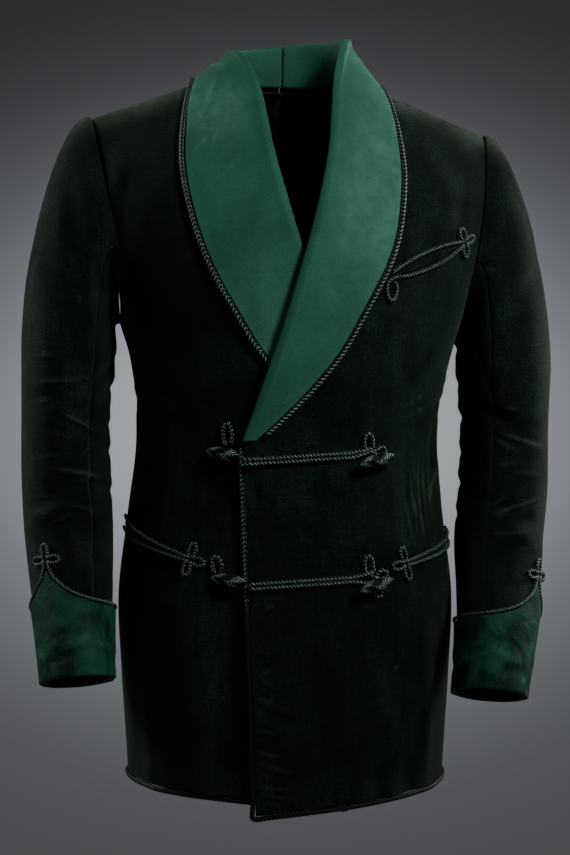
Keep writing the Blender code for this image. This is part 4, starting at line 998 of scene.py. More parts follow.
LEFT_SLEEVE_CREASES = (
    (188, -0.2700, 0.0260, 0.0055, 90, -0.0024, 0.0),
    (186, -0.3430, 0.0280, 0.0060, 84, -0.0026, 0.0),
    (184, -0.3780, 0.0240, 0.0050, 96, -0.0016, 0.0),
    (186, -0.4120, 0.0260, 0.0055, 86, -0.0022, 0.0),
    (184, -0.4440, 0.0240, 0.0050, 94, -0.0016, 0.0),
    (188, -0.3060, 0.0220, 0.0050, 98, -0.0014, 0.0),
    (112, -0.1905, 0.0110, 0.0022, 88, 0.0010, 0.0),
    (108, -0.1985, 0.0080, 0.0020, 82, 0.0007, 0.0),
    (98, -0.3325, 0.0080, 0.0022, 85, 0.0010, 0.0),
    (77, -0.3660, 0.0360, 0.0024, 78, 0.0013, 0.03),
    (102, -0.3720, 0.0170, 0.0024, 66, 0.0012, 0.0),
    (93, -0.3680, 0.0240, 0.0028, 72, -0.0012, 0.0),
    (102, -0.3900, 0.0160, 0.0020, 100, 0.0009, 0.0),
    (84, -0.4325, 0.0360, 0.0024, 108, 0.0012, 0.06),
    (88, -0.4380, 0.0300, 0.0032, 108, -0.0010, 0.06),
    (110, -0.4285, 0.0120, 0.0020, 120, 0.0010, 0.0),
    (84, -0.4600, 0.0340, 0.0024, 94, 0.0009, 0.02),
    (66, -0.4000, 0.0240, 0.0020, 84, 0.0008, 0.03),
    (60, -0.4750, 0.0200, 0.0022, 96, 0.0007, 0.0),
    (80, -0.3480, 0.0260, 0.0060, 80, -0.0014, 0.0),
    (76, -0.4480, 0.0280, 0.0060, 100, -0.0014, 0.0),
    (60, -0.3850, 0.0280, 0.0070, 90, -0.0012, 0.0),
    (125, -0.3000, 0.0300, 0.0060, 20, -0.0014, 0.0),
    (40, -0.1300, 0.0500, 0.0100, 12, -0.0014, 0.0),
    (250, -0.4150, 0.0260, 0.0044, 70, -0.0016, 0.0),
    (262, -0.4500, 0.0260, 0.0044, 76, 0.0016, 0.0),
    (255, -0.3850, 0.0260, 0.0044, -72, 0.0014, 0.0),
    (305, -0.3000, 0.0300, 0.0060, 60, -0.0012, 0.0),
)


def sleeve_ring(side, turn, row):
    """x = middle + half width * cos, y = middle - half depth * sin, tilted by rise and drop."""
    values = np.moveaxis(catmull(SLEEVE, row), -1, 0)
    height, x_right, x_left, y_right, y_left, half_width, half_depth, rise, drop = values
    middle_x = x_left if side > 0 else x_right
    middle_y = y_left if side > 0 else y_right
    outwards = half_width * np.cos(turn)
    ahead = half_depth * np.sin(turn)
    return np.stack(
        [side * (middle_x + outwards), middle_y - ahead, height + rise * ahead - drop * outwards],
        axis=-1,
    )


def armhole_loop(side, standoff=SLEEVE_STANDOFF):
    """Points from the shoulder tip over the front to the armpit and back up."""
    front, behind, level = armhole_edges(side, ARMHOLE_LOW_ROWS + ARMHOLE_HIGH_ROWS + 1)
    angle = np.concatenate([front[::-1], behind[1:-1]])
    level = np.minimum(np.concatenate([level[::-1], level[1:-1]]), RIDGE - 0.01)
    points = body(angle, level) + body_normal(angle, level) * standoff
    return points * (side, 1, 1)


def round_the_hole(loop, turned):
    """Places on the closed loop, read past both of its ends."""
    return catmull(np.concatenate([loop[-2:], loop, loop[:3]]), turned + 2)


def sleeve_relief(side, turn, height):
    """The sum of the solids' folds on this side's sleeve."""
    total = np.zeros(np.broadcast(turn, height).shape)
    for fold in SLEEVE_FOLDS:
        if fold[0] == side:
            near = turned_from(turn, math.radians(fold[1]))
            total += fold_relief(near * SLEEVE_RADIUS, height, (0.0, *fold[2:]))
    return total


def sleeve_creases(table, turn, height):
    """The sum of the creases by hand, each placed by its turn round the sleeve."""
    total = np.zeros(np.broadcast(turn, height).shape)
    for middle, *rest in table:
        near = turned_from(turn, math.radians(middle)) * SLEEVE_RADIUS
        near, level = np.broadcast_arrays(near, height)
        total += crease_relief(near, level, ((0.0, *rest),))
    return total


def sleeve_surface(side, column):
    """The head's edge turns in to the panel. The head is a cubic from there to the first
    ring, and rings follow it down."""
    loop = armhole_loop(side)
    turned = np.mod(column, LOOP_COLUMNS)
    hole = round_the_hole(loop, turned)
    tucked = round_the_hole(armhole_loop(side, 0.0002), turned) + (side * TURNED_IN, 0, 0)
    turn = 2 * math.pi * column / LOOP_COLUMNS
    ring = sleeve_ring(side, turn, np.zeros(len(column)))
    out = (HEAD_OUT + HEAD_OUT_SWING * np.cos(turn))[:, None] * np.array([side, 0, 0.1])
    up = (HEAD_UP + HEAD_UP_SWING * np.cos(turn))[:, None] * np.array([0, 0, 1.0])
    places = np.linspace(0, CAP_ROWS, HEAD_POINTS + 1)[:-1]
    share = ((places / CAP_ROWS) ** 1.15)[:, None, None]
    cap = (
        (1 - share) ** 3 * hole
        + 3 * (1 - share) ** 2 * share * (hole + out)
        + 3 * (1 - share) * share**2 * (ring + up)
        + share**3 * ring
    )
    cap = np.concatenate([[tucked], cap])
    share = np.append(share[:1], share, axis=0)
    places = np.append(0, places)
    rows = np.linspace(0, SLEEVE_END, ARM_POINTS)[:, None]
    arm = sleeve_ring(side, turn[None, :], rows)
    grid = np.concatenate([cap, arm])
    coarse_row = np.concatenate([places, np.full(ARM_POINTS, float(CAP_ROWS))])
    arm_middle = sleeve_ring(side, np.array([[0, math.pi]]), rows).mean(axis=1)
    cap_middle = loop.mean(axis=0) + (arm_middle[0] - loop.mean(axis=0)) * share[:, 0]
    middle = np.concatenate([cap_middle, arm_middle])[:, None, :]
    away = unit((grid - middle) * (1, 1, 0))
    fade = step(0, 2, coarse_row)[:, None]
    table = LEFT_SLEEVE_CREASES if side > 0 else RIGHT_SLEEVE_CREASES
    creases = sleeve_creases(table, turn[None, :], grid[..., 2])
    paleness = crowns(creases, sleeve_creases(thin_ones(table), turn[None, :], grid[..., 2]), 0.36)
    relief = (sleeve_relief(side, turn[None, :], grid[..., 2]) + creases) * fade
    return grid + away * relief[..., None], paleness, coarse_row


# %% The two sleeves
def sleeve_wear_and_sheen(points, coarse_row, turn):
    """Rubbed on top of the head and down the outer side, with painted highlight in both
    places: on the head where light falls from above, and on the outer side where it catches.
    """
    head = step(4.2, 0.4, coarse_row)[:, None] * step(-0.085, -0.030, points[..., 2]) * 0.8
    outer = 0.20 * np.exp(-((turned_from(turn, 0.35) / 0.60) ** 2))
    return head + outer


def sleeve_piece(side, kind, first, last):
    """The part of the tube between two seam columns, pulled back from each by a little."""
    column = first + to_edges(SLEEVE_POINTS[kind]) * (last - first)
    grid, paleness, coarse_row = sleeve_surface(side, column)
    grid[:, 0] += unit(grid[:, 1] - grid[:, 0]) * SLEEVE_SEAM_GAP / 2
    grid[:, -1] += unit(grid[:, -2] - grid[:, -1]) * SLEEVE_SEAM_GAP / 2
    start, end, head, _ = from_edges(grid)
    dips = (sewn(start) + sewn(end)) * step(0.0, 0.010, head) + 0.15 * sewn(head)
    outwards = normals_of(grid) * side
    points = grid + outwards * dips[..., None]
    wear_and_sheen = paleness + sleeve_wear_and_sheen(points, coarse_row, 2 * math.pi * column / LOOP_COLUMNS)
    if kind == "top":
        wear_and_sheen = wear_and_sheen + 0.40 * pale_share(end, 0.0014) * step(0.0, 0.10, -0.30 - points[..., 2])
    if side < 0:
        points, wear_and_sheen = points[:, ::-1], wear_and_sheen[:, ::-1]
    name = SIDE_NAMES[side]
    piece = cloth(f"{kind}_sleeve_{name}", stance(points, 1.0), (velvet, reverse), CLOTH_WALL, wear_and_sheen)
    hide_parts(f"sleeve_{kind}_{name}")
    return piece


for side in (-1, 1):
    top_sleeve = sleeve_piece(side, "top", BACK_SEAM, LOOP_COLUMNS + FRONT_SEAM)
    under_sleeve = sleeve_piece(side, "under", FRONT_SEAM, BACK_SEAM)

# %% [markdown]
# ## Cuffs and collar
#
# The cuffs and the shawl collar are satin, turned back over the velvet. The collar is one
# folded strip on each side: it stands up at the neck, rolls over, and falls to its outer
# edge. Its stations are the same as the solid's, read along finer curves, and then soft
# puckers are pressed into it along its length, where silk can't follow the curve.

# %% Cuff
CUFF_LIFT = 0.0034
CUFF_BASE, CUFF_PEAK, CUFF_SPREAD = -0.555, 0.037, math.radians(26)
CUFF_PEAK_ANGLE = {1: math.radians(44), -1: math.radians(54)}
SLEEVE_GIRTH = 0.048
SATIN_WALL = 0.0013
CUFF_ROWS, CUFF_HALF = 44, 66
# Columns: turn, height, length, width, lean, depth, bow
CUFF_CREASES = (
    (60, -0.5950, 0.0260, 0.0060, 74, -0.0011, 0.10),
    (85, -0.5800, 0.0240, 0.0050, 66, 0.0010, 0.0),
    (30, -0.6000, 0.0200, 0.0050, -68, 0.0010, 0.0),
    (110, -0.6050, 0.0260, 0.0060, 80, -0.0010, 0.0),
    (135, -0.5850, 0.0220, 0.0050, -72, 0.0009, 0.0),
    (95, -0.6120, 0.0200, 0.0070, 20, -0.0012, 0.0),
    (50, -0.6130, 0.0160, 0.0070, -12, 0.0012, 0.0),
    (200, -0.5950, 0.0260, 0.0060, 76, -0.0011, 0.0),
    (250, -0.5850, 0.0260, 0.0060, -74, 0.0010, 0.0),
    (300, -0.6000, 0.0240, 0.0060, 70, -0.0010, 0.0),
    (330, -0.6120, 0.0160, 0.0080, 8, 0.0010, 0.0),
)


def cuff_top(away):
    """base + peak * exp(-|turn from the point| / spread)."""
    return CUFF_BASE + CUFF_PEAK * np.exp(-np.abs(away) / CUFF_SPREAD)


def sleeve_row_at(height):
    """The row of the sleeve's table at this height, as a fraction."""
    return np.interp(-np.asarray(height), -SLEEVE[:, 0], np.arange(len(SLEEVE)))


def on_sleeve(side, turn, row, above):
    """Points lifted off the sleeve, straight away from its middle."""
    points = sleeve_ring(side, turn, row)
    away = unit(points - sleeve_ring(side, turn + math.pi, row))
    relief = sleeve_relief(side, turn, points[..., 2])
    return points + away * (relief + above)[..., None]


def cuff_piece(side):
    """Rings from the sleeve's end to the pointed edge, with creases of its own and a lower
    edge that waves: sin(7 turn) + 0.6 sin(11 turn), fading up the cuff."""
    half = (math.pi - SEAM_GAP / 2 / SLEEVE_GIRTH) * np.linspace(0, 1, CUFF_HALF) ** 1.2
    away = np.concatenate([-half[:0:-1], half])
    turn = CUFF_PEAK_ANGLE[side] + away
    low = np.full(turn.shape, float(SLEEVE_END))
    high = sleeve_row_at(cuff_top(away))
    rows = low + (high - low) * np.linspace(0, 1, CUFF_ROWS)[:, None]
    plain = sleeve_ring(side, turn[None, :], rows)
    creases = np.zeros(plain.shape[:2])
    for middle, *rest in CUFF_CREASES:
        near = turned_from(turn, math.radians(middle)) * SLEEVE_GIRTH
        creases += crease_relief(np.broadcast_to(near, creases.shape), plain[..., 2], ((0.0, *rest),))
    waves = 0.0006 * (np.sin(7 * turn + 1.3) + 0.6 * np.sin(11 * turn))
    waves = waves * np.linspace(1, 0, CUFF_ROWS)[:, None] ** 2
    points = on_sleeve(side, turn[None, :], rows, CUFF_LIFT + 0.9 * creases + waves)
    wear_and_sheen = 0.35 * step(0.0003, 0.0010, creases)
    if side > 0:
        points, wear_and_sheen = points[:, ::-1], wear_and_sheen[:, ::-1]
    name = SIDE_NAMES[side]
    piece = cloth(f"satin_cuff_{name}", stance(points, 1.0), (shaded_cuff_satin, reverse), SATIN_WALL, wear_and_sheen)
    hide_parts("cuff_" + name)


for side in (-1, 1):
    cuff_piece(side)

# %% The collar's stations
# Columns: base x, outer x right, outer x left, outer level, roll in, roll up
COLLAR_BACK = np.array(
    [
        (0.0006, 0.0006, 0.0006, 9.95, 0.008, 0.040),
        (0.0300, 0.0330, 0.0320, 10.05, 0.010, 0.040),
        (0.0550, 0.0610, 0.0590, 10.45, 0.017, 0.038),
        (0.0700, 0.0790, 0.0755, 11.10, 0.022, 0.035),
        (0.0780, 0.0895, 0.0850, 12.00, 0.025, 0.032),
        (0.0800, 0.0950, 0.0900, 13.00, 0.026, 0.030),
    ]
)
# Columns: base height, outer x right, outer x left, outer height, roll in, roll up
COLLAR_FRONT = np.array(
    [
        (0.000, 0.0950, 0.0900, -0.007, 0.026, 0.030),
        (-0.008, 0.1005, 0.0930, -0.018, 0.023, 0.026),
        (-0.022, 0.1070, 0.0970, -0.038, 0.019, 0.021),
        (-0.050, 0.1125, 0.1005, -0.070, 0.010, 0.011),
        (-0.085, 0.1140, 0.1015, -0.103, 0.004, 0.004),
        (-0.125, 0.1090, 0.0970, -0.140, 0.001, 0.001),
        (-0.165, 0.0985, 0.0870, -0.178, 0.000, 0.000),
        (-0.205, 0.0840, 0.0715, -0.212, 0.000, 0.000),
        (-0.245, 0.0640, 0.0530, -0.247, 0.000, 0.000),
        (-0.285, 0.0400, 0.0320, -0.285, 0.000, 0.000),
        (-0.320, 0.0110, 0.0080, -0.317, 0.000, 0.000),
        (-0.352, -0.0210, -0.0210, -0.350, 0.000, 0.000),
        (-0.374, -0.0440, -0.0440, -0.3735, 0.000, 0.000),
    ]
)
COLLAR_FALL = (0.12, 0.32, 0.54, 0.77, 1.0)
NECK_EASE, RIDGE_EASE, STAND_TILT = 0.0030, 0.0015, 3.5
ROLL_PUFF, ROLL_REACH = 0.0042, 0.0034
COLLAR_POINTS = (160, 56)


def neck_level(x):
    """The back neckline: ridge - dip * sqrt(1 - (x / neck point)^2)."""
    return RIDGE - (RIDGE - BACK_NECK_LEVEL) * np.sqrt(np.clip(1 - (x / NECK_POINT_X) ** 2, 0, 1))


def collar_stations(side):
    """(angle, level) of each station's base and outer edge, and its table row."""
    outer_x = 2 if side > 0 else 1
    behind = catmull(COLLAR_BACK, np.linspace(0, len(COLLAR_BACK) - 1, 8)[:-1])
    front = catmull(COLLAR_FRONT, np.linspace(0, len(COLLAR_FRONT) - 1, 16))
    base_x = behind[:, 0]
    back_base = math.pi - np.arcsin(base_x / SECTIONS[-1, 1]), neck_level(base_x)
    half_width = catmull(SECTIONS, behind[:, 3])[:, 1]
    back_outer = math.pi - np.arcsin(behind[:, outer_x] / half_width), behind[:, 3]
    front_base = front_place(front_edge_x(front[:, 0]), front[:, 0])
    front_outer = front_place(front[:, outer_x], front[:, 3])
    base = [np.concatenate(pair) for pair in zip(back_base, front_base)]
    outer = [np.concatenate(pair) for pair in zip(back_outer, front_outer)]
    return base, outer, np.concatenate([behind, front])


def collar_strip(side, share, above):
    """Every station's place on the panel, this share of the way to the outer edge."""
    base, outer, _ = collar_stations(side)
    angle = base[0] + (outer[0] - base[0]) * share
    level = np.minimum(base[1] + (outer[1] - base[1]) * share, RIDGE - 0.004)
    return on_body(angle, level, LIFTS[side], above), body_normal(angle, level)


def collar_grid(side):
    """Each station's profile: up the stand, over the roll and down the fall."""
    rows = collar_stations(side)[2]
    roll_in = rows[:, 4:5]
    panel, out = collar_strip(side, 0.0, 0.0)
    roll_up = rows[:, 5:6] * (1 + side * STAND_TILT * panel[:, :1])
    over = unit(collar_strip(side, COLLAR_FALL[0], 0.0)[0] - panel)
    level_over = over.copy()
    for _ in range(12):
        level_over[1:-1] = (level_over[:-2] + 2 * level_over[1:-1] + level_over[2:]) / 4
    level_over = unit(level_over * (1, 1, 0))
    stand = roll_up * np.array([0, 0, 1.0]) - roll_in * level_over
    height = panel[:, 2:3]
    flat = step(-0.330, -0.370, height) if side > 0 else step(-0.150, -0.193, height)
    puff = ROLL_PUFF * (1 - flat)
    neck = step(0.0, 0.02, roll_up)
    low = panel - over * (VELVET / 2 + SMALL_GAP + NECK_EASE * neck) + out * (NECK_EASE * neck - 0.001)
    inner = panel - over * ROLL_REACH + out * (0.0015 + 0.3 * puff) + 0.6 * stand
    top = panel - over * 0.0018 + out * (LAYER + 0.5 * puff) + stand
    turned = panel + over * 0.0035 + out * (LAYER + puff) + stand
    flat_spot = panel + over * 0.0035 + out * LAYER
    columns = [low, inner, top, turned]
    for share in COLLAR_FALL:
        point, _ = collar_strip(side, share, LAYER)
        keep = (1 - share) ** (1.8 - 0.8 * neck)
        columns.append(point + (turned - flat_spot) * keep + out * NECK_EASE * neck * share)
    return np.stack(columns, axis=1)


# %% The collar's puckers and its two halves
# Columns: station share, width share, length, width, lean, depth, bow, where the length
# and width are in metres. Station 0 is the centre back and 1 the tip, width 0 the stand
LEFT_PUCKERS = (
    (0.560, 0.74, 0.0220, 0.0050, -40, 0.0006, 0.20),
    (0.600, 0.66, 0.0260, 0.0070, -48, -0.0007, 0.20),
    (0.680, 0.80, 0.0160, 0.0040, -50, 0.0005, 0.10),
    (0.720, 0.66, 0.0400, 0.0090, -30, -0.0006, 0.0),
    (0.800, 0.78, 0.0240, 0.0050, -24, 0.0005, 0.0),
    (0.870, 0.70, 0.0300, 0.0060, -20, -0.0006, 0.0),
    (0.910, 0.80, 0.0160, 0.0040, -34, 0.0005, 0.0),
    (0.440, 0.72, 0.0300, 0.0080, 50, 0.0006, 0.0),
    (0.200, 0.70, 0.0260, 0.0060, 30, -0.0012, 0.0),
)
RIGHT_PUCKERS = (
    (0.330, 0.74, 0.0200, 0.0030, 20, 0.0008, 0.10),
    (0.355, 0.66, 0.0240, 0.0034, 12, -0.0009, 0.15),
    (0.385, 0.80, 0.0220, 0.0030, 26, 0.0010, 0.10),
    (0.405, 0.64, 0.0180, 0.0036, 38, -0.0009, 0.10),
    (0.430, 0.72, 0.0240, 0.0028, 30, 0.0009, 0.0),
    (0.455, 0.84, 0.0180, 0.0032, 48, 0.0008, 0.10),
    (0.475, 0.66, 0.0260, 0.0040, 40, -0.0008, 0.0),
    (0.510, 0.74, 0.0200, 0.0036, 54, 0.0007, 0.0),
    (0.590, 0.66, 0.0320, 0.0080, 34, -0.0006, 0.10),
    (0.700, 0.70, 0.0360, 0.0090, 28, 0.0005, 0.0),
    (0.240, 0.70, 0.0260, 0.0060, -30, 0.0012, 0.0),
)


# Painted sheen: bands where the satin is painted paler, standing in for light on it. Columns: station,
# reach, strength
PAINTED_SHEEN_BANDS = {1: ((0.54, 0.20, 0.44),), -1: ((0.38, 0.06, 0.60), (0.88, 0.16, 0.50))}


def collar_piece(side):
    """The stations' profiles read along finer curves, with puckers on the fall only."""
    columns = COLLAR_POINTS[1]
    grid = finer(collar_grid(side), *COLLAR_POINTS)
    uv = arc_map(grid)
    station = uv[..., 1] / uv[-1:, :, 1]
    width = to_edges(columns)[None, :] + 0 * station
    across = uv[..., 0] - uv[:, :1, 0]
    relief = np.zeros(station.shape)
    for place, share, *rest in LEFT_PUCKERS if side > 0 else RIGHT_PUCKERS:
        far = (station - place) * uv[-1, columns // 2, 1]
        middle = across[:, [int(share * (columns - 1))]]
        relief += crease_relief(across - middle, far, ((0.0, 0.0, *rest),))
    relief *= step(0.40, 0.56, width) * step(1.0, 0.93, width) * step(1.0, 0.93, station)
    outwards = normals_of(grid)
    outwards = outwards * np.sign((outwards[-5, -5] * (0, -1, 0)).sum())
    points = grid + outwards * relief[..., None]
    points[:, 0, 2] -= 0.0010 * step(0.34, 0.22, station[:, 0])
    wear_and_sheen = 0.4 * step(0.0002, 0.0010, relief) + 0.20 * pale_share(across[:, -1:] - across, 0.004)
    # Painted sheen: paler bands on the collar's fall, standing in for the light on the satin.
    for place, reach, strength in PAINTED_SHEEN_BANDS[side]:
        pale = strength * np.exp(-(((station - place) / reach) ** 2))
        wear_and_sheen = wear_and_sheen + pale * step(0.42, 0.70, width)
    points = points * (side, 1, 1)
    if side < 0:
        points, wear_and_sheen = points[:, ::-1], wear_and_sheen[:, ::-1]
    name = SIDE_NAMES[side]
    piece = cloth(f"satin_collar_{name}", stance(points)[::-1], (satin, reverse), SATIN_WALL, wear_and_sheen[::-1])
    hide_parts("collar_" + name)


for side in (-1, 1):
    collar_piece(side)

# %% [markdown]
# ## Braided cord
#
# Every edge carries plaited cord. A plait of four strands shows slanted lobes that meet
# in a chevron, so the tube's radius follows that pattern: the lobes lean one way on one
# quarter of the tube and the other way on the next. It is made once as a function and
# laid along every path. The paths are those of the solids.

# %% Paths
CORD, FINE_CORD, FROG_CORD = 0.0026, 0.0018, 0.0021


def spaced(points, distance):
    """Points an even distance apart along a smooth curve through the given ones."""
    points = np.asarray(points, float)
    fine = catmull(points, np.linspace(0, len(points) - 1, 40 * len(points)))
    lengths = np.concatenate([[0], np.cumsum(np.linalg.norm(np.diff(fine, axis=0), axis=1))])
    count = max(2, round(lengths[-1] / distance) + 1)
    at = np.linspace(0, lengths[-1], count)
    return np.column_stack([np.interp(at, lengths, column) for column in fine.T])


def loop(foot, direction, length, width, opening=40, points=9):
    """An oval: along = (1 - cos t) length / 2 and across = sin t width / 2."""
    way = np.array([math.cos(math.radians(direction)), math.sin(math.radians(direction))])
    across = np.array([-way[1], way[0]])
    turn = np.radians(np.linspace(opening, 360 - opening, points))
    along = (1 - np.cos(turn)) * length / 2
    return np.array(foot) + along[:, None] * way + (np.sin(turn) * width / 2)[:, None] * across


def trefoil(stem):
    """Three loops round a middle: r = middle + swing * cos(4 turn), open at the stem."""
    turn = math.radians(stem) - np.linspace(math.radians(45), math.radians(315), 22)
    radius = 0.0098 + 0.0067 * np.cos(4 * (turn - math.radians(stem)))
    return np.column_stack([radius * np.cos(turn), radius * np.sin(turn)])


def between(start, end, bow, count):
    """A line that bows to its left: 4 * bow * s * (1 - s)."""
    share = np.linspace(0, 1, count)[:, None]
    start, end = np.array(start), np.array(end)
    way = unit(end - start)
    return start + (end - start) * share + 4 * bow * share * (1 - share) * np.array([-way[1], way[0]])


def on_front(side, path, lift, above):
    """Flat (x, height) points carried onto a front."""
    path = np.asarray(path, float)
    angle, level = front_place(path[:, 0], path[:, 1])
    return on_body(angle, level, lift, above) * (side, 1, 1)


def on_front_by_girth(path, lift, above):
    """(girth, height) points carried onto a front."""
    path = np.asarray(path, float)
    angle, level = angle_place(path[:, 0] / GIRTH_RADIUS, path[:, 1])
    return on_body(angle, level, lift, above)


# %% The plait
def closed_tube(name, rings, strand, finish):
    """Rings of points joined by quads, with a point at each end and a fan of triangles."""
    count, around = rings.shape[:2]
    index = np.arange(count * around).reshape(count, around)
    after = np.roll(index, -1, axis=1)
    quads = np.stack([index[:-1], after[:-1], after[1:], index[1:]], axis=-1).reshape(-1, 4)
    first, last = count * around, count * around + 1
    start = np.column_stack([after[0], index[0], np.full(around, first)])
    end = np.column_stack([index[-1], after[-1], np.full(around, last)])
    points = np.concatenate([rings.reshape(-1, 3), [rings[0].mean(axis=0)], [rings[-1].mean(axis=0)]])
    mesh = bpy.data.meshes.new(name)
    mesh.from_pydata(points.tolist(), [], quads.tolist() + start.tolist() + end.tolist())
    mesh.shade_smooth()
    values = np.concatenate([strand.ravel(), [0.5, 0.5]])
    mesh.attributes.new("strand", "FLOAT", "POINT").data.foreach_set("value", values)
    mesh.materials.append(finish)
    piece = in_scene(name, mesh)
    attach(piece, "root")
    return piece


def frames_along(path, outwards):
    """At each point: the way along, the way out with its part along removed, and across."""
    along = unit(np.gradient(path, axis=0))
    out = unit(outwards - (outwards * along).sum(axis=1, keepdims=True) * along)
    return along, out, np.cross(along, out)


RING_STEP = 0.0008
FINE_RING_STEP = 0.0006
# A lobe's length in radii plus a little, its slant, and its radius where it dips and rises
LOBE_LENGTH, LOBE_MORE, LOBE_SLANT = 1.55, 0.0004, 0.9
LOBE_LOW, LOBE_RISE = 0.86, 0.18


def plait(name, node, path, radius, outwards, around=14, ring_step=RING_STEP, paleness=1.0):
    """radius * (low + rise * lobe), where lobe = |sin(pi (s / pitch + slant * wave))|^0.8
    and wave is a triangle wave round the tube, so that the lobes meet in chevrons. The last
    argument scales the strand values that the braid finish paints as light: lower, the
    cord has fewer painted highlights and more painted shade."""
    count = len(path)
    _, out, across = frames_along(path, outwards)
    turn = 2 * math.pi * np.arange(around) / around
    wave = np.abs(np.mod(turn / math.pi + 0.25, 1) * 2 - 1)
    length = np.arange(count) * ring_step
    pitch = LOBE_LENGTH * radius + LOBE_MORE
    lobe = np.abs(np.sin(math.pi * (length[:, None] / pitch + LOBE_SLANT * wave[None, :]))) ** 0.8
    dome = 1 - 0.45 * np.abs(2 * wave - 1)[None, :] ** 3
    strand = lobe * dome
    ends = np.minimum(np.arange(count), np.arange(count)[::-1])[:, None] * ring_step / radius
    cap = np.sqrt(np.clip(ends * (2 - np.minimum(ends, 1)), 0.02, 1))
    size = radius * (LOBE_LOW + LOBE_RISE * strand) * cap
    cosine, sine = np.cos(turn)[None, :, None], np.sin(turn)[None, :, None]
    swing = out[:, None, :] * cosine + across[:, None, :] * sine
    pale = strand * np.broadcast_to(paleness, count)[:, None]
    piece = closed_tube(name, path[:, None, :] + swing * size[..., None], pale, braid)
    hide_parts(node)
    return piece


def radial(path, middle=(0.0, 0.0)):
    """The level way out from an upright axis."""
    return unit((path - (*middle, 0.0)) * (1, 1, 0))


# %% Cords along the collar, the front edges and the hem
def collar_cord(side):
    """Beside the collar's outer edge, standing on the panel."""
    ridge = step(RIDGE - 1.5, RIDGE, collar_stations(side)[1][1])
    above = VELVET / 2 + 1.5 * SMALL_GAP + CORD + RIDGE_EASE * ridge
    edge, out = collar_strip(side, 1.0, above)
    beside = unit(np.cross(out, np.gradient(edge, axis=0)))
    path = edge + beside * (CORD + SMALL_GAP + 0.0006)
    path[0, 0] = SMALL_GAP
    path[-1] = path[-2] + (path[-1] - path[-2]) * 0.6
    path = stance(spaced(spaced(path, 8.0 * CORD), RING_STEP) * (side, 1, 1))
    name = SIDE_NAMES[side]
    return plait(f"collar_braid_{name}", "collar_cord_" + name, path, CORD, radial(path, (0, 0.03)))


def edge_cord(side):
    """Down the front edge, round the corner and along the hem to the side seam."""
    lift = LIFTS[side]
    out = CORD
    corner = HEM_CORNER[side]
    height = np.append(np.linspace(BREAK_HEIGHT - 0.001, corner + 0.010, 19), corner - 0.9 * out)
    beside = np.append(np.full(19, out), 0.9 * out)
    down = on_body(*front_place(front_edge_x(height) - beside, height), lift, 0.0010)
    angle, level = front_grid(side)
    share = np.linspace(0.04, 1, 20)
    hem_angle = angle[0, 0] + (SIDE_SEAM - 0.006 - angle[0, 0]) * share
    hem_level = level[0, 0] + (level[0, -1] - level[0, 0]) * share
    hem = on_body(hem_angle, hem_level, lift, 0.0010) - (0, 0, out)
    path = np.concatenate([down, spaced(hem, 8.0 * CORD)])
    path = stance(spaced(path, RING_STEP) * (side, 1, 1))
    name = SIDE_NAMES[side]
    # Painted shade: the strand values, and so the cord's painted highlights, are lower below the lower
    # frog.
    paleness = 0.74 + 0.20 * step(-0.560, -0.520, path[:, 2])
    return plait(f"edge_braid_{name}", "edge_cord_" + name, path, CORD, radial(path), paleness=paleness)


def hem_cord():
    """Along the back's hem, from one side seam to the other."""
    angle, level = back_grid()
    start = SIDE_SEAM + 0.006
    hem_angle = start + 2 * (math.pi - start) * np.linspace(0, 1, 28)
    hem = on_body(hem_angle, np.interp(hem_angle, angle[0], level[0])) - (0, 0, CORD)
    path = stance(spaced(hem, RING_STEP))
    # Painted shade: the hem's cord takes the low strand values of the lower front edge.
    return plait("hem_braid_back", "hem_cord_back", path, CORD, radial(path), paleness=0.74)


for side in (-1, 1):
    collar_cord(side)
    edge_cord(side)
hem_cord()

# %% Pockets
BREAST_INNER, BREAST_OUTER = np.array((0.0705, -0.2050)), np.array((0.1430, -0.1665))
BREAST_BOW = 0.0062
HIP_INNER_GIRTH, HIP_OUTER_GIRTH, HIP_MOUTH = 0.1080, 0.2330, 0.0120
HIP_INNER_HEIGHT, HIP_OUTER_HEIGHT = {1: -0.4960, -1: -0.4900}, {1: -0.4700, -1: -0.4560}
STRIP_WALL = 0.0008


def fine_braid(name, node, path):
    """A plait of the thin cord that faces away from the body's axis."""
    plait(name, node, path, FINE_CORD, radial(path), 12, FINE_RING_STEP)


def welt(name, node, low, high, side, gathers):
    """A strip of velvet in the pocket's mouth, with small gathers across it."""
    share = np.linspace(0, 1, 12)[:, None, None]
    path = np.linspace(0, len(low) - 1, 90)
    flat = catmull(low, path) * (1 - share) + catmull(high, path) * share
    lift = LIFTS[side]
    folds = np.sin(path * gathers) * np.sin(path * gathers * 0.37 + 1.0)
    crown = np.sin(math.pi * share[:, 0, 0])
    rise = VELVET / 2 + SMALL_GAP + 0.0005 + 0.0009 * crown[:, None] * (0.6 + folds[None, :])
    grid = np.stack([on_front_by_girth(row, lift, up) for row, up in zip(flat, rise)]) * (side, 1, 1)
    grid = grid if side > 0 else grid[:, ::-1]
    piece = cloth(name, stance(grid), (velvet, reverse), STRIP_WALL)
    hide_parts(node)


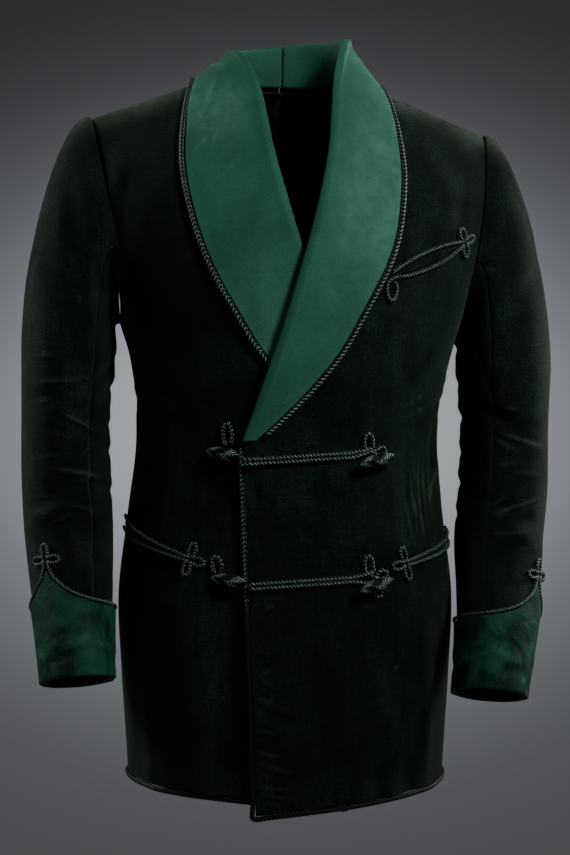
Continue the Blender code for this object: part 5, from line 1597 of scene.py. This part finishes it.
def breast_pocket():
    """Cord round the mouth, with a trefoil at one end and a hanging loop at the other."""
    above = VELVET / 2 + SMALL_GAP + FINE_CORD
    inner, outer = BREAST_INNER, BREAST_OUTER
    slope = math.degrees(math.atan2(*(outer - inner)[::-1]))
    turned = trefoil(slope + 180) + outer + unit(outer - inner) * 0.0061
    gap = np.array([0, FINE_CORD + SMALL_GAP])
    upper = between(inner + gap, turned[0], BREAST_BOW, 8)[:-1]
    lower = between(turned[-1], inner - gap + (0.004, 0), BREAST_BOW, 8)[1:]
    hanging = loop(inner + (0.0005, -0.004), -84, 0.021, 0.0095)[::-1]
    coarse = np.concatenate([upper, turned, lower, hanging])
    path = stance(on_front_by_girth(spaced(coarse, FINE_RING_STEP), left_lift, above))
    fine_braid("breast_pocket_braid", "breast_pocket_cord", path)
    inset = BREAST_BOW - 2.3 * FINE_CORD
    low = between(inner + (0.011, 0.003), outer - (0.004, 0.002), -inset, 8) - (0, 0.0005)
    high = between(inner + (0.011, 0.003), outer - (0.004, 0.002), inset, 8) + (0, 0.0005)
    welt("breast_pocket_strip", "breast_pocket_welt", low, high, 1, 2.3)


def hip_pocket(side):
    """Cord round the mouth, open at the side seam, with a trefoil at its inner end."""
    name = SIDE_NAMES[side]
    above = VELVET / 2 + SMALL_GAP + FINE_CORD
    inner = np.array((HIP_INNER_GIRTH, HIP_INNER_HEIGHT[side]))
    outer = np.array((HIP_OUTER_GIRTH, HIP_OUTER_HEIGHT[side]))
    slope = math.degrees(math.atan2(*(outer - inner)[::-1]))
    turned = (trefoil(slope) + inner - unit(outer - inner) * 0.0051)[::-1]
    spread = np.array([0, HIP_MOUTH / 2])
    upper = between(outer + spread, turned[0], 0.0, 9)[:-1]
    lower = between(turned[-1], outer - spread, 0.0, 9)[1:]
    coarse = np.concatenate([upper, turned, lower])
    path = on_front_by_girth(spaced(coarse, FINE_RING_STEP), LIFTS[side], above) * (side, 1, 1)
    fine_braid(f"hip_pocket_braid_{name}", "hip_pocket_cord_" + name, stance(path))
    inset = np.array([0, 1.5 * FINE_CORD])
    start = inner + unit(outer - inner) * 0.014
    low = between(start - (0, 0.0006), outer - spread + inset, 0.0, 10)
    high = between(start + (0, 0.0006), outer + spread - inset, 0.0, 10)
    node = "hip_pocket_welt_" + name
    welt(f"hip_pocket_strip_{name}", node, low, high, side, 3.1)


breast_pocket()
for side in (-1, 1):
    hip_pocket(side)

# %% Cuff braid
def cuff_cord(side):
    """Over the cuff's edge on both sides of its point, with a trefoil on top."""
    away = (math.pi - 0.03) * np.linspace(1, 0, 15)[:-1] ** 1.2
    arc = away * SLEEVE_GIRTH
    edge = cuff_top(away)
    slope = np.gradient(edge, arc)
    rise = (FINE_CORD + SMALL_GAP + 0.0004) * np.sqrt(1 + slope**2)
    after = np.column_stack([arc + 0.0004, edge + rise])[::-1]
    before = after[::-1] * (-1, 1)
    turned = trefoil(-90) + np.array((0, CUFF_BASE + CUFF_PEAK + 0.0105))
    if turned[0, 0] > turned[-1, 0]:
        turned = turned[::-1]
    coarse = spaced(np.concatenate([before, turned, after]), FINE_RING_STEP)
    turn = CUFF_PEAK_ANGLE[side] + coarse[:, 0] / SLEEVE_GIRTH
    above = np.full(len(coarse), VELVET / 2 + 2 * SMALL_GAP + FINE_CORD)
    row = sleeve_row_at(coarse[:, 1])
    path = stance(on_sleeve(side, turn, row, above), 1.0)
    outwards = unit(sleeve_ring(side, turn, row) - sleeve_ring(side, turn + math.pi, row))
    name = SIDE_NAMES[side]
    plait(f"cuff_braid_{name}", "cuff_cord_" + name, path, FINE_CORD, outwards, 12, FINE_RING_STEP)


for side in (-1, 1):
    cuff_cord(side)

# %% [markdown]
# ## Frogs and toggles
#
# A frog closes the jacket with no buttonhole: a doubled cord reaches over the edge, ends
# in small loops, and holds a toggle. The toggle is an olive of wound cord, so its surface
# has slanted windings that a knot's strands would leave.

# %% Frogs
# Columns: left x and height, right x and height, lengths of the loops up, out and down
FROGS = {
    "upper": (-0.0560, -0.3950, 0.0620, -0.3865, 0.0175, 0.0105, 0.0),
    "lower": (-0.0500, -0.5180, 0.0640, -0.5110, 0.0185, 0.0115, 0.0130),
}
# Both ends of each toggle. Columns: x, height, above the form
LEFT_TOGGLES = {
    "upper": ((0.0535, -0.3975, 0.0134), (0.0890, -0.3880, 0.0134)),
    "lower": ((0.0540, -0.5230, 0.0140), (0.0890, -0.5125, 0.0140)),
}
RIGHT_TOGGLES = {
    "upper": ((-0.0905, -0.3835, 0.0038), (-0.0565, -0.3895, 0.0172)),
    "lower": ((-0.0865, -0.5090, 0.0047), (-0.0505, -0.5145, 0.0153)),
}
# Columns: foot, length
TOGGLE_LOOPS = {"upper": ((-0.0700, -0.3800), 0.0235), "lower": ((-0.0800, -0.5060), 0.0180)}
TOGGLE_RADIUS = 0.0062


def frog(name, values):
    """Out over the edge, up, out and down in loops, and back along the first cord."""
    left_x, left_z, right_x, right_z, up_length, out_length, tail_length = values
    apart = np.array([0, FROG_CORD + SMALL_GAP / 2])
    start, end = np.array((left_x, left_z)), np.array((right_x, right_z))
    upper = between(start + apart, end + apart, 0.0, 11)
    lower = between(end - apart, start - apart, 0.0, 11)
    rising = loop(end + (0.004, 0.004), 94, up_length, 0.0085)[::-1]
    outwards = loop(end + (0.011, 0.001), 22, out_length, 0.0085, 50)[::-1]
    parts = [upper[:-1], rising, outwards]
    if tail_length:
        parts.append(loop(end + (0.008, -0.006), -62, tail_length, 0.0080, 50)[::-1])
    coarse = spaced(np.concatenate([*parts, lower[1:]]), RING_STEP)
    over = step(-0.0410, -0.0490, coarse[:, 0]) * 2 * (CORD + SMALL_GAP)
    above = VELVET / 2 + 1.8 * SMALL_GAP + FROG_CORD + over
    path = stance(on_front(1, coarse, left_lift, above))
    plait(f"frog_braid_{name}", "frog_" + name, path, FROG_CORD, radial(path))


def toggle(name, node, ends, lift):
    """An olive, r = (1 - s^2)^0.45, wound with plaited cord: coils |sin(turn + 3.4 s)| that
    carry the plait's own finer lobes, and a second layer that crosses them."""
    ends = np.array(ends)
    tips = stance(on_front(1, ends[:, :2], lift, ends[:, 2]))
    middle, half = tips.mean(axis=0), (tips[1] - tips[0]) / 2
    long_way = unit(half)
    deep = unit(np.cross(long_way, (0, 0, 1)))
    wide = np.cross(long_way, deep)
    place = np.sin(np.linspace(-0.485 * math.pi, 0.485 * math.pi, 130))
    turn = np.linspace(0, 2 * math.pi, 73)[:-1]
    phase = turn[None, :] + 3.4 * place[:, None]
    coil = np.abs(np.sin(phase)) ** 0.55
    crossing = np.abs(np.sin(turn[None, :] - 2.6 * place[:, None] + 0.9)) ** 0.55
    over = step(-0.25, 0.25, np.sin(2.0 * turn[None, :] + 1.3 * place[:, None]))
    wound = coil * over + crossing * (1 - over)
    along = place[:, None] * 30.0 + 5.0 * np.where(over > 0.5, np.cos(phase), -np.cos(phase))
    fine = np.abs(np.sin(along)) ** 0.8
    strand = np.clip(wound * (0.20 + 0.80 * fine), 0, 1)
    size = TOGGLE_RADIUS * (1 - place**2)[:, None] ** 0.45 * (0.74 + 0.17 * wound + 0.09 * fine)
    swing = wide * np.cos(turn)[:, None] + deep * np.sin(turn)[:, None]
    rings = middle + 0.98 * half * place[:, None, None] + swing[None, :, :] * size[..., None]
    piece = closed_tube(name, rings, strand, braid)
    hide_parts(node)


def toggle_loop(name, node, place, length):
    """An upright oval of cord above a right toggle."""
    coarse = spaced(loop(place, 96, length, 0.0085, 30, 11), RING_STEP)
    path = stance(on_front(1, coarse, no_lift, VELVET / 2 + SMALL_GAP + FROG_CORD))
    plait(name, node, path, FROG_CORD, radial(path))


for level_name, values in FROGS.items():
    frog(level_name, values)
    toggle(f"left_olive_{level_name}", f"toggle_left_{level_name}", LEFT_TOGGLES[level_name], left_lift)
    toggle(f"right_olive_{level_name}", f"toggle_right_{level_name}", RIGHT_TOGGLES[level_name], no_lift)
    toggle_loop(f"olive_loop_{level_name}", f"toggle_loop_{level_name}", *TOGGLE_LOOPS[level_name])

# %% [markdown]
# ## The studio
#
# The jacket stands in soft light from a square lamp high on the right, with a weak fill
# and two lamps behind it that draw the pile's edges. Velvet needs those: a light from the
# front alone would leave it black. Behind it a pool of light fades into a dark backdrop.

# %% Stage and light
FLOOR_POINTS = 96
FLOOR_GREY = (0.42, 0.42, 0.43, 1)


def floor_disc(radius, height):
    """A plain round floor: one face with its corners on a circle."""
    turn = np.linspace(0, 2 * math.pi, FLOOR_POINTS + 1)[:-1]
    level = np.full(FLOOR_POINTS, height)
    ring = np.column_stack([radius * np.cos(turn), radius * np.sin(turn), level])
    mesh = bpy.data.meshes.new("floor")
    mesh.from_pydata(ring.tolist(), [], [list(range(FLOOR_POINTS))])
    made, _, shader, _ = new_finish("Pale floor")
    shader.inputs["Base Color"].default_value = FLOOR_GREY
    shader.inputs["Roughness"].default_value = 0.9
    mesh.materials.append(made)
    in_scene("floor", mesh)


def soft_light(name, place, aim, size, power, spread):
    """A square area light that faces its aim, with its light kept within the spread."""
    data = bpy.data.lights.new(name, "AREA")
    data.size = size
    data.energy = power
    data.spread = math.radians(spread)
    light = in_scene(name, data)
    light.location = place
    light.rotation_euler = (Vector(aim) - Vector(place)).to_track_quat("-Z", "Y").to_euler()


floor_disc(radius=3.2, height=-1.45)
# Columns: name, place, aim, size, power, spread
for lamp in (
    ("key", (1.35, -1.75, 1.25), (0.04, 0.0, -0.28), 0.6, 5.0, 46),
    ("fill", (-2.4, -1.8, 0.2), (0.0, 0.0, -0.35), 1.6, 5.0, 180),
    ("rim, left", (-1.9, 0.9, 0.7), (-0.1, 0.0, -0.25), 0.9, 46, 180),
    ("rim, right", (2.0, 0.9, 0.5), (0.1, 0.0, -0.25), 0.9, 46, 180),
):
    soft_light(*lamp)

world = bpy.data.worlds.new("Grey studio")
world.use_nodes = True
tree = world.node_tree


def share_along(way):
    """How far the direction looked in points along this way."""
    node = tree.nodes.new("ShaderNodeVectorMath")
    node.operation = "DOT_PRODUCT"
    join(tree, tree.nodes.new("ShaderNodeTexCoord").outputs["Generated"], node.inputs[0])
    node.inputs[1].default_value = way
    return node.outputs["Value"]


def squared_share(way, reach):
    """(share / reach)^2."""
    return math_node(tree, "POWER", math_node(tree, "DIVIDE", share_along(way), reach), 2.0)


# The camera looks 7 degrees off the y axis, so these are its own right, ahead and up
ACROSS, AHEAD, UP = (0.9925, -0.1219, 0), (0.1219, 0.9925, 0), (0, 0, 1)
POOL_WIDTH, POOL_HEIGHT = 0.116, 0.086
LOW_GREY, HIGH_GREY, POOL_GREY = (0.072, 0.074, 0.080), (0.028, 0.028, 0.030), (0.50, 0.53, 0.58)
# A pool of light on the backdrop, exp(-(across / width)^2 - (up / height)^2)
far = math_node(tree, "ADD", squared_share(ACROSS, POOL_WIDTH), squared_share(UP, POOL_HEIGHT))
pool = math_node(tree, "EXPONENT", math_node(tree, "MULTIPLY", far, -1.0))
pool = math_node(tree, "MULTIPLY", pool, ramp(tree, share_along(AHEAD), 0.2, 0.8))
plain = mixed(tree, ramp(tree, share_along(UP), -0.17, 0.17), LOW_GREY, HIGH_GREY)
join(tree, mixed(tree, pool, plain, POOL_GREY), tree.nodes["Background"].inputs["Color"])
bpy.context.scene.world = world

# %% Camera
AIM = Vector((0.0, 0.0, -0.36))
DISTANCE = 2.6
AZIMUTH = math.radians(-7)
eye = AIM + Vector((math.sin(AZIMUTH), -math.cos(AZIMUTH), 0.0)) * DISTANCE
lens = bpy.data.cameras.new("Camera")
lens.lens = 105.26
lens.sensor_width = 36
camera = in_scene("Camera", lens)
camera.location = eye
camera.rotation_euler = (AIM - eye).to_track_quat("-Z", "Y").to_euler()
bpy.context.scene.camera = camera
print("camera", [round(value, 3) for value in eye], "lens", lens.lens)
